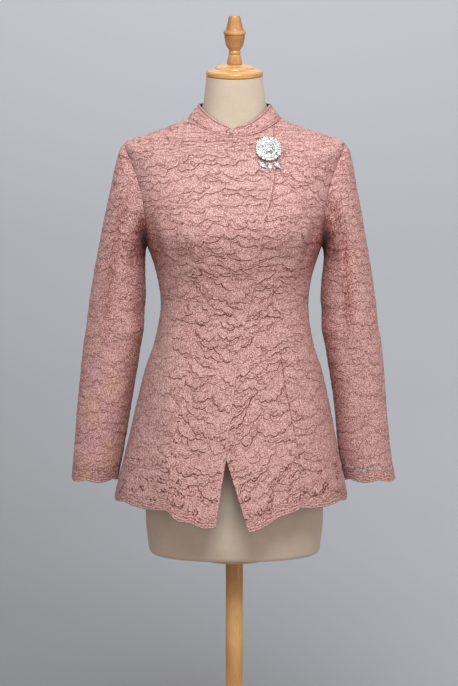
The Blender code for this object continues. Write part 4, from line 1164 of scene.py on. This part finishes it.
row = rows_up(math.radians(20))
part = np.linspace(0, 1, 126)[None, :]
inner = angle_at(row, UNDERLAP)
angle = inner + (front_edge(row, 1) - inner) * part
level = true_level(row, angle, scallop_drop(part, row, FRONT_SCALLOPS))
point = body(angle, level)
past_edge = point[..., 0] - np.interp(point[..., 2], *OVERLAP)
points = body_grid(angle, level, LAP_STEP * blend(LAP_FADE, LAP_MARGIN, past_edge))
lace = body_lace(points, 31)
# painted shadow along the edge of the right front, which laps over here
shaded = 0.25 * blend(1180, 1270, point[..., 2]) + 0.08
lace.open = np.maximum(lace.open, shaded * np.exp(-(((past_edge - 0.5) / 2.2) ** 2)))
sheet("front_left_centre", lace, (0.237, 0.855), 0.0949)

# ------------------------------------------------------------------ blouse: right centre front
# The wearer's right centre front laps over the left one; its free edge runs from the neck
# under the brooch and down to the point of the right corner, turned in and pressed flat.
FLAP_SHORT = 0.12  # the flap past the centre front ends this part of a level under the collar

row = rows_up(math.radians(-12))
part = np.linspace(0, 1, 142)[None, :]
outer = -front_edge(row, -1)
angle = outer + (angle_at(row, OVERLAP) - outer) * part
level = true_level(row, angle, scallop_drop(part, row, FRONT_SCALLOPS))
level = np.where(angle > 0, np.minimum(level, NECK - FLAP_SHORT), level)
lace = body_lace(body_grid(angle, level), 47, net=2.1)
lace.cord(lace.across.max(axis=1, keepdims=True) - lace.across - 2.2, 1.0, 0.1, 0.05)
sheet("front_right_centre", lace, (0.303, 0.861), 0.0982)

# ------------------------------------------------------------------ blouse: sleeves
# Long set-in sleeves of the same lace, unlined, filled out as if worn.  Each is closed by a
# seam on its inner side, sewn into the armhole, and ends in the scalloped border.

# Sections of the wearer's right sleeve, from the shoulder to the cuff: the outer and inner
# points, the half depth and the centre's y.  left_outer and left_inner say how much nearer
# the body the left sleeve hangs.
SLEEVE = Table(
    "outer_x outer_z inner_x inner_z half_depth centre_y left_outer left_inner",
    (
        ("armhole", 194, 1341, 158, 1160, 57, 3, 0, 0),
        ("cap_top", 204, 1328, 158.5, 1156, 58, 3, 0, 0),
        ("cap", 213, 1296, 159, 1152, 59, 3, 1, 0),
        ("cap_low", 222, 1255, 159.5, 1147, 59, 3, 3, 0),
        ("bicep", 232, 1210, 160, 1138, 58, 3, 4, 0),
        ("upper_arm", 243, 1155, 160.5, 1120, 56, 3, 5, 1),
        ("above_elbow", 252, 1110, 160, 1090, 54, 3, 6, 4),
        ("elbow", 260, 1060, 160, 1050, 51, 4, 7, 5),
        ("below_elbow", 267, 1010, 165, 1004, 49, 5, 8, 6),
        ("forearm", 273, 970, 171, 964, 47, 7, 7, 5),
        ("mid_forearm", 283, 880, 186, 876, 43, 10, 9, 6),
        ("wrist", 291, 790, 201, 788, 39, 14, 8, 12),
        ("cuff", 296.5, 735, 212.5, 735, 37, 16, 4, 11),
    ),
)
CUFF = SLEEVE.level("cuff")
CUFF_BORDER = 11.3  # the cuff's scallops start this far down the table
CUFF_SCALLOPS = 5
CAP_FADE = 3.6  # from here down the sleeve has its own sections; above it eases to the armhole
SEAM_OPENS = (0.98, 0, -0.2)  # the way the sleeve's edge lies off the armhole's

# Soft creases of a filled sleeve, by turn and section, each a low ridge or trough.
CREASES = Table(
    "turn section turn_width section_width height",
    (
        ("front_fold", 85, 4.8, 10, 1.7, -2.0),
        ("front_fold_edge", 104, 4.9, 11, 1.7, 2.0),
        ("front_armpit", 128, 4.6, 16, 0.5, -2.5),
        ("front_drag", 105, 5.6, 32, 0.3, 2.0),
        ("elbow_hollow", 160, 7.2, 35, 0.3, -2.5),
        ("elbow_ridge", 150, 8.0, 35, 0.35, 2.0),
        ("back_armpit", -125, 4.8, 28, 0.35, -2.5),
        ("back_elbow", -60, 7.4, 35, 0.3, -2.0),
        ("forearm_ridge", -90, 8.6, 35, 0.4, 2.0),
    ),
)


def sleeve_grid(turn, place, side, closed=True):
    """Outer face of a sleeve: turn goes round it from the outer side, place down its table."""
    left = (side + 1) / 2
    rim_turn = np.linspace(-math.pi, math.pi, 721)
    rim_angle, rim_level = side * armhole_angle(rim_turn), armhole_level(rim_turn)
    rim = body(rim_angle, rim_level)
    rim = rim + outward(body, rim_angle, rim_level) * fold_height(rim_angle, rim[:, 2])[:, None]

    def ideal(place):
        column = {name: SLEEVE.at(name, place) for name in SLEEVE.columns}
        outer = np.stack((column["outer_x"] - left * column["left_outer"], column["outer_z"]))
        inner = np.stack((column["inner_x"] - left * column["left_inner"], column["inner_z"]))
        x, z = (outer + inner) / 2 + (outer - inner) / 2 * np.cos(turn)
        y = column["centre_y"] - column["half_depth"] * np.sin(turn)
        return np.stack((side * x, y, z), axis=-1)

    edge = np.stack([np.interp(turn, rim_turn, rim[:, axis]) for axis in range(3)], axis=-1)
    away = np.array(SEAM_OPENS) * (side, 1, 1) * SEAM
    miss = edge + away - ideal(np.zeros_like(place))
    fade = np.clip(1 - place / CAP_FADE, 0, 1) ** 2
    point = ideal(place) + miss * fade[..., None]
    scallops = SCALLOP * np.abs(np.sin(CUFF_SCALLOPS * turn / 2))
    point[..., 2] -= blend(CUFF_BORDER, CUFF, place) * scallops
    lift = np.zeros(point.shape[:2])
    for at, crease, turn_width, place_width, height in CREASES.sizes:
        across = (np.degrees(turn) - at + 180) % 360 - 180
        along = (place - crease) / place_width
        lift = lift + height * np.exp(-((across / turn_width) ** 2) - along**2)
    return point + facing(point, -side, closed) * lift[..., None]


def cuff_net(lace, low, high, shown):
    """An open net band above the cuff's cords, its rows of small holes in a wavering line."""
    pitch, waver, wave, share = 4.3, 2.2, 46, 0.86

    def swing(x):
        return waver * np.sin(x * 2 * math.pi / wave + 0.6)

    for number, y in enumerate(np.arange(low, high, pitch * 0.8)):
        start = lace.across.min() + (number % 2) * pitch / 2
        for x in np.arange(start, lace.across.max(), pitch):
            if lace.chance.uniform() < share:
                size = lace.chance.uniform(0.7, 1.2)
                place = (x + lace.spread(0.4), y + swing(x) + lace.spread(0.3))
                lace.pierce(*place, size, size * 0.85)
    off_low, off_high = lace.up - low - swing(lace.across), high + swing(lace.across) - lace.up
    lace.net = shown * blend(0, 2, off_low + 2) * blend(0, 2, off_high)


def upper_specks(lace, low, count):
    """Pin-sized gaps in the open ground of the unlined upper sleeve."""
    top = lace.up.max()
    for _ in range(count):
        x = lace.chance.uniform(lace.across.min(), lace.across.max())
        y = low + (top - low) * lace.chance.uniform() ** 0.7
        size = lace.chance.uniform(0.45, 0.95)
        lace.pierce(x, y, size * 1.3, size, lace.spread(0.7))


SLEEVE_LENGTH = 560  # the lace's pattern changes half way up this
FOLD_TURN, FOLD_SKEW, FOLD_WIDTH = 84, 10, 14  # the shaded front fold, in degrees round it
OUTSIDE = np.array([[-0.05, 0, 0.05]])

for side, where, seed, area in ((-1, "right", 61, 0.1600), (1, "left", 67, 0.1585)):

    def outer_line(place):
        return sleeve_grid(OUTSIDE, place[:, None] + 0 * OUTSIDE, side, closed=False)[:, 1]

    place = evenly(outer_line, CUFF)[::-1][:, None]
    turn = np.linspace(-math.pi, math.pi, 171)[None, :]
    points = sleeve_grid(turn, place * np.ones_like(turn), side)
    height = points[..., 2]
    lace = Lace(points, seed)
    dress_lace(lace, chest_line(SLEEVE_LENGTH), 0.75, 0.8)
    lace.line = lace.line * (0.5 + 0.5 * blend(280, 460, lace.up))
    border(lace, 25)
    fold = blend(930, 1080, height) * blend(1290, 1210, height)
    away = (np.degrees(turn) - FOLD_TURN - FOLD_SKEW * side) / FOLD_WIDTH
    fold = fold * np.exp(-(away**2))
    head = blend(50, 0, lace.up.max(axis=0, keepdims=True) - lace.up)
    inner = np.cos(turn) * np.ones_like(place)
    # The ground is painted darker: a little all over and near the head, and as painted shade on the
    # inner side low down and in the front fold.
    lace.open = 0.06 + 0.22 * blend(-0.3, -0.9, inner) * blend(700, 950, height)
    lace.open = lace.open + (0.24 + 0.03 * side) * fold + 0.05 * head
    cuff_net(lace, 22, 29, 0.6 + 0.4 * side)
    upper_specks(lace, 260, 520)
    if side < 0:
        slant = np.sin(lace.up / 21 + lace.across / 40)
        lace.cast = np.sin(lace.across / 13 + 1.0) * slant * blend(300, 200, lace.up)
    sheet(f"sleeve_{where}", lace, (0.479, 0.618), area, -side, "hung", closed=True)

# ------------------------------------------------------------------ blouse: stand collar
# A band of doubled lace that leans in towards the neck; its rounded ends meet at the centre
# front in a small notch.  It is sewn on round the neck edge, seam turned inside.
COLLAR_SIDE = (63, 1410)
COLLAR_FRONT = (62, 1371)
COLLAR_BACK = (64, 1418)
COLLAR_NOTCH = 0.42  # how high its ends stand where they meet, as a part of the whole
COLLAR_CURVE = 14.0  # how far from the centre its ends have curved up to full height
COLLAR_RIPPLE = 0.035  # how much its top edge ripples, as a part of the height
COLLAR_RIPPLES = 27
COLLAR_TUCK = 0.02  # part of its height that is sewn under at the neck
CENTRE_X = -4.5
ALL_CHEST = -310  # a chest line below the whole piece


def collar_top(angle):
    """Top edge of the collar all round."""
    x, y = section(COLLAR_SIDE[0], COLLAR_FRONT[0], COLLAR_BACK[0], 2.0, angle)
    end_z = np.where(np.cos(angle) > 0, COLLAR_FRONT[1], COLLAR_BACK[1])
    z = COLLAR_SIDE[1] + (end_z - COLLAR_SIDE[1]) * np.cos(angle) ** 2
    return np.stack((x, y, z), axis=-1)


def upright(x):
    """An upright line at one place across the front."""
    return (0, 2000), (x, x)


neck_row = np.full(1, NECK)
start = float(angle_at(neck_row, upright(CENTRE_X))[0])
gap = float(kept_back(np.full(1, start), neck_row)[0])
angle = np.linspace(start + gap, start + 2 * math.pi - gap, 290)[None, :]
low = body(angle, np.full_like(angle, NECK))
x = np.minimum(np.abs(low[..., 0] - CENTRE_X) / COLLAR_CURVE, 1)
curve = np.where(np.cos(angle) < 0, 1, np.sqrt(1 - (1 - x) ** 2))
ripple = COLLAR_RIPPLE * np.abs(np.sin(angle * COLLAR_RIPPLES))
full = COLLAR_NOTCH + (1 - COLLAR_NOTCH) * curve - ripple
rise = -COLLAR_TUCK + (full + COLLAR_TUCK) * np.linspace(0, 1, 24)[:, None]
lace = Lace(low + (collar_top(angle) - low) * rise[..., None], 83)
dress_lace(lace, ALL_CHEST, 0.8, 0.9)
below_top = lace.up.max(axis=0, keepdims=True) - lace.up
lace.cord(below_top - 1.4, 1.3, 0.7, 0.7)
lace.cord(lace.up - 1.2, 1.0, 0.5, 0.4)
sheet("collar", lace, (0.503, 0.033), 0.0129)

# ------------------------------------------------------------------ brooch: flower and leaves
# A cast flower of bright metal with a domed middle, eight petals and a scalloped rim, set all
# over with small foil-backed stones; three leaves, set the same way, are soldered below it.
# It is pinned through the cloth over the corner of the overlap.
BROOCH_X = 58.7
BROOCH_Z = 1331.0
BROOCH_RADIUS = 23.5
BROOCH_BACK = 0.5
RIM_STONES = 16
PETALS = 8
LEAVES = (  # each from its root to its point, and its width
    ("brooch_leaf_right", (42.5, 1308.5), (56.5, 1297.0), 9.5),
    ("brooch_leaf_middle", (61.0, 1306.0), (61.5, 1292.5), 7.5),
    ("brooch_leaf_left", (69.5, 1308.0), (80.5, 1296.0), 9.5),
)


def lying_at(x, z, turn=0.0):
    """Matrix that lays a piece's XY plane on the front, its Y axis up the cloth."""
    levels = np.linspace(ARMPIT, NECK, 400)
    angles = angle_at(levels, upright(x))
    points = body(angles, levels)
    nearest = int(np.argmin(np.abs(points[:, 2] - z)))
    at = slice(nearest, nearest + 1)
    point, normal = Vector(points[nearest]), Vector(outward(body, angles[at], levels[at])[0])
    up = (Vector((0, 0, 1)) - normal * normal.z).normalized()
    frame = Matrix((up.cross(normal), up, normal)).transposed().to_4x4()
    return Matrix.Translation(point + normal * BROOCH_BACK) @ frame @ Matrix.Rotation(turn, 4, "Z")


def flower_height(radius, turn):
    """Relief of the flower: a domed middle, petals and a raised rim."""
    dome = 4.6 * np.sqrt(np.clip(1 - (radius / 11.5) ** 2, 0, 1))
    petal = 1.7 * blend(9, 12, radius) * blend(20.5, 15, radius)
    petal = petal * (0.8 + 0.2 * np.cos(PETALS * turn))
    rim = 1.4 * np.clip(1 - ((radius - 21.0) / 3.0) ** 2, 0, 1)
    slope = 0.5 * blend(15, 24, radius)
    return 1.5 - slope + dome + petal + rim * (0.7 + 0.3 * np.cos(RIM_STONES * turn))


def leaf_height(across, along, width, length):
    """Relief of a leaf, thickest along its middle."""
    away = (across / (width / 2)) ** 2 + (along / (length / 2)) ** 2
    return 0.6 + 1.7 * math.sqrt(max(0.0, 1 - away))


def stone(bm, place, x, y, z, radius, lean):
    """A round stone with a flat table and eight facets over its claws, at the given height."""
    tilt = Matrix.Rotation(lean[0], 4, "X") @ Matrix.Rotation(lean[1], 4, "Y")
    spot = place @ Matrix.Translation((x, y, z)) @ tilt @ Matrix.Rotation(x * 3 + y, 4, "Z")
    crown, claws = (1, 0.55, 0.55, 0.275), (0.8, 1, 0.5, -0.25)
    for low, high, depth, middle in (crown, claws):
        bmesh.ops.create_cone(
            bm,
            cap_ends=middle > 0,
            segments=8,
            radius1=radius * low,
            radius2=radius * high,
            depth=radius * depth,
            matrix=spot @ Matrix.Translation((0, 0, radius * middle)),
        )


def bright_metal():
    """Plated metal, mottled at random from near black to bright, the dark parts rougher; the near
    black is painted shade, so the metal between the stones reads as shaded gaps.
    """
    fixed = {"Metallic": 0.85}
    material, place, shader = new_finish("plated_metal", fixed)
    metal_mottle = place.noise(900.0, 2.0).step(0.35, 0.65)
    colour = metal_mottle.between((0.10, 0.10, 0.105, 1), (0.60, 0.59, 0.57, 1))
    feed(shader, colour=colour, rough=metal_mottle * -0.12 + 0.42)
    return material


def white_stones():
    """Clear stones backed with foil: white, with painted grey, bluish and warm reflections in the
    facets.
    """
    fixed = {"Metallic": 0.05, "Coat Weight": 1.0, "Coat Roughness": 0.04, "IOR": 1.6}
    material, place, shader = new_finish("foiled_stones", fixed)
    glint = place.noise(640.0, 1.0)
    cast = place.noise(420.0, 0.0)
    colour = glint.step(0.38, 0.58).between((0.40, 0.44, 0.46, 1), (0.86, 0.86, 0.84, 1))
    # painted warm and bluish reflections
    colour = (cast.step(0.56, 0.66) * 0.5).between(colour, (0.95, 0.86, 0.66, 1))
    colour = (cast.step(0.44, 0.34) * 0.5).between(colour, (0.70, 0.82, 0.93, 1))
    feed(shader, colour=colour, rough=glint * 0.2 + 0.05)
    return material


metal = bright_metal()
flower_place = lying_at(BROOCH_X, BROOCH_Z)
rings = np.linspace(0.6, BROOCH_RADIUS, 40)
rim = [(BROOCH_RADIUS, 0, 0), (0, 0, 0)]
bm = spin_line([(0, 0, 1), *((radius, 0, 1) for radius in rings), *rim], 96)
bmesh.ops.remove_doubles(bm, verts=bm.verts, dist=0.01)
bmesh.ops.recalc_face_normals(bm, faces=bm.faces)
for vert in bm.verts:
    radius, turn = math.hypot(vert.co.x, vert.co.y), math.atan2(vert.co.y, vert.co.x)
    if vert.co.z > 0.5:
        vert.co.z = float(flower_height(radius, turn))
    if radius > BROOCH_RADIUS - 1.5:
        scallop = 1 - 0.03 * (1 - math.cos(RIM_STONES * turn))
        vert.co.x *= scallop
        vert.co.y *= scallop
bmesh.ops.transform(bm, matrix=Matrix.Scale(MM, 4) @ flower_place, verts=bm.verts)
keep("brooch_setting", bm, metal, ["brooch_flower"])

leaves = []
for name, root, point, width in LEAVES:
    run = Vector((point[0] - root[0], point[1] - root[1]))
    middle = ((root[0] + point[0]) / 2, (root[1] + point[1]) / 2)
    leaf_place = lying_at(*middle, math.atan2(run.y, run.x) - math.pi / 2)
    leaves.append((leaf_place, width, run.length))
    bm = bmesh.new()
    bmesh.ops.create_uvsphere(bm, u_segments=28, v_segments=16, radius=1.0)
    for vert in bm.verts:
        vert.co.x *= (1 - 0.25 * vert.co.y) * width / 2
        vert.co.y *= run.length / 2
        vert.co.z = max(vert.co.z, 0) * 1.7 + min(vert.co.z, 0) * 0.6 + 0.6
    bmesh.ops.transform(bm, matrix=Matrix.Scale(MM, 4) @ leaf_place, verts=bm.verts)
    keep("setting_" + name, bm, metal, [name])

# Rings of stones on the flower, by count, radius of the ring and radius of a stone; then the
# stones of a leaf, by place along it in halves of its length, place across it and radius.
STONE_RINGS = (
    (1, 0.0, 2.5), (6, 4.6, 2.2), (11, 9.0, 2.3), (16, 13.2, 2.35), (20, 17.3, 2.4),
    (26, 21.2, 2.35),
)
LEAF_STONES = (
    (-1.12, 0.0, 1.4), (-0.78, 0.0, 2.0), (-0.34, -2.4, 2.1), (-0.34, 2.4, 2.1),
    (0.12, -1.9, 2.0), (0.12, 1.9, 2.0), (0.52, 0.0, 2.0), (0.9, 0.0, 1.3),
)
chance = np.random.default_rng(5)
bm = bmesh.new()
for count, radius, size in STONE_RINGS:
    for turn in np.arange(count) * 2 * math.pi / count + radius:
        before, after = max(radius - 0.4, 0), radius + 0.4
        slope = (flower_height(after, turn) - flower_height(before, turn)) / 0.8
        tip = math.atan(float(np.clip(slope, -1.2, 1.2))) if radius else 0.0
        x, y = radius * math.cos(turn), radius * math.sin(turn)
        slot = abs(x) < 3.6 and -11.5 < y < -7.5
        if slot or (radius > 8 and chance.uniform() < 0.07 - 0.006 * y):
            continue  # an open place between the petals
        up = float(flower_height(radius, turn)) + 0.35
        tips = chance.uniform(-0.22, 0.22, 2)
        lean = tip * math.sin(turn) + tips[0], -tip * math.cos(turn) + tips[1]
        stone(bm, flower_place, x, y, up, size * chance.uniform(0.85, 1.1), lean)
for leaf_place, width, length in leaves:
    for part, across, size in LEAF_STONES:
        along = part * (length / 2)
        up = leaf_height(across, along, width, length) + 0.3
        tips = chance.uniform(-0.3, 0.3, 2)
        lean = tips[0] - part * 0.5, tips[1] + across * 0.2
        stone(bm, leaf_place, across, along, up, size, lean)
bmesh.ops.transform(bm, matrix=Matrix.Scale(MM, 4), verts=bm.verts)
keep("brooch_stones", bm, white_stones(), sharp=15)

# ------------------------------------------------------------------ floor, light and camera


# A pale seamless paper floor that curves up into the backdrop, with a large soft light


# above, to the right of the camera, and a weaker one on its left.
def sweep_paper():
    """Smooth pale grey paper, with painted shade that darkens it towards the floor and the left;
    clear when it is seen from behind.
    """
    material, place, shader = new_finish("paper", {"Specular IOR Level": 0.2})
    across = place.node("ShaderNodeSeparateXYZ", {}, {"Vector": place}, "X")
    height = place.node("ShaderNodeSeparateXYZ", {}, {"Vector": place}, "Z")
    # painted shade: dark grey low down, darkest on the left
    low = height.step(1.6, -0.8) * (across.step(1.5, -1.5) * 0.85 + 0.15)
    tint = low.between((0.54, 0.57, 0.605, 1), (0.165, 0.169, 0.173, 1))
    front = 1 - place.node("ShaderNodeNewGeometry", {}, {}, "Backfacing")
    feed(shader, colour=tint, rough=place.noise(90.0, 1.0) * 0.05 + 0.85, alpha=front)
    return material


# The paper's curve, in metres: how far back, and how high.
SWEEP = ((-5.0, 0.0), (1.2, 0.0), (1.7, 0.06), (2.1, 0.24), (2.35, 0.55), (2.45, 1.0), (2.45, 5.0))
SWEEP_WIDTH = 12.0

bm = bmesh.new()
verts = [bm.verts.new((-SWEEP_WIDTH / 2, y, z)) for y, z in SWEEP]
edges = [bm.edges.new(pair) for pair in zip(verts, verts[1:])]
swept = bmesh.ops.extrude_edge_only(bm, edges=edges)["geom"]
far_side = [vert for vert in swept if isinstance(vert, bmesh.types.BMVert)]
bmesh.ops.translate(bm, vec=(SWEEP_WIDTH, 0, 0), verts=far_side)
bm.normal_update()
if min(bm.faces, key=lambda face: face.calc_center_median().y).normal.z < 0:
    bmesh.ops.reverse_faces(bm, faces=bm.faces)
to_object("backdrop", bm, sweep_paper())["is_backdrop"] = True


def soft_light(name, place, aim, size, power, tint=(1, 1, 1)):
    """A square soft box that faces its aim."""
    light = bpy.data.lights.new(name, "AREA")
    light.shape = "RECTANGLE"
    light.size, light.size_y = size
    light.energy = power
    light.color = tint
    lamp = bpy.data.objects.new(name, light)
    lamp.location = place
    lamp.rotation_euler = (Vector(aim) - Vector(place)).to_track_quat("-Z", "Y").to_euler()
    bpy.context.scene.collection.objects.link(lamp)


soft_light("key", (0.15, -2.08, 3.26), (0, 0, 1.25), (1.4, 1.0), 90, (0.94, 1.0, 1.025))
warm = (1.0, 0.86, 0.835)
soft_light("fill", (-2.6, -2.6, 1.9), (0, 0, 1.1), (2.0, 2.4), 23, warm)
soft_light("side_fill", (2.7, -1.9, 1.7), (0, 0, 1.1), (1.6, 2.2), 26, warm)
soft_light("backdrop_light", (0, 0.9, 3.6), (0, 2.4, 1.2), (3.0, 0.8), 28.5)
soft_light("back_fill", (0, 2.25, 3.2), (0, 0, 0.95), (2.4, 0.7), 6)
world = bpy.data.worlds.new("room")
world.use_nodes = True
air = world.node_tree.nodes["Background"]
air.inputs["Color"].default_value = (0.97, 0.835, 0.835, 1)
air.inputs["Strength"].default_value = 0.285
bpy.context.scene.world = world
bpy.context.scene.view_settings.view_transform = "Standard"

# The view: eye height, distance and side step from the stand, height aimed at, all in metres.
EYE_HEIGHT = 1.40
EYE_AWAY = 3.60
EYE_SIDE = -0.0099
AIM_HEIGHT = 0.982
FRAME_HEIGHT = 686
METRES_A_PIXEL = 0.0018  # at the aim
SENSOR = 36
drop = EYE_HEIGHT - AIM_HEIGHT
camera = bpy.data.cameras.new("camera")
camera.sensor_fit = "VERTICAL"
camera.sensor_height = SENSOR
camera.lens = SENSOR * (math.hypot(EYE_AWAY, drop) / METRES_A_PIXEL) / FRAME_HEIGHT
viewer = bpy.data.objects.new("camera", camera)
viewer.location = (EYE_SIDE, -EYE_AWAY, EYE_HEIGHT)
viewer.rotation_euler = (math.pi / 2 - math.atan(drop / EYE_AWAY), 0, 0)
bpy.context.scene.collection.objects.link(viewer)
bpy.context.scene.camera = viewer

# ------------------------------------------------------------------ sizes
# The box round everything shown but the backdrop.
low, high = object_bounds()
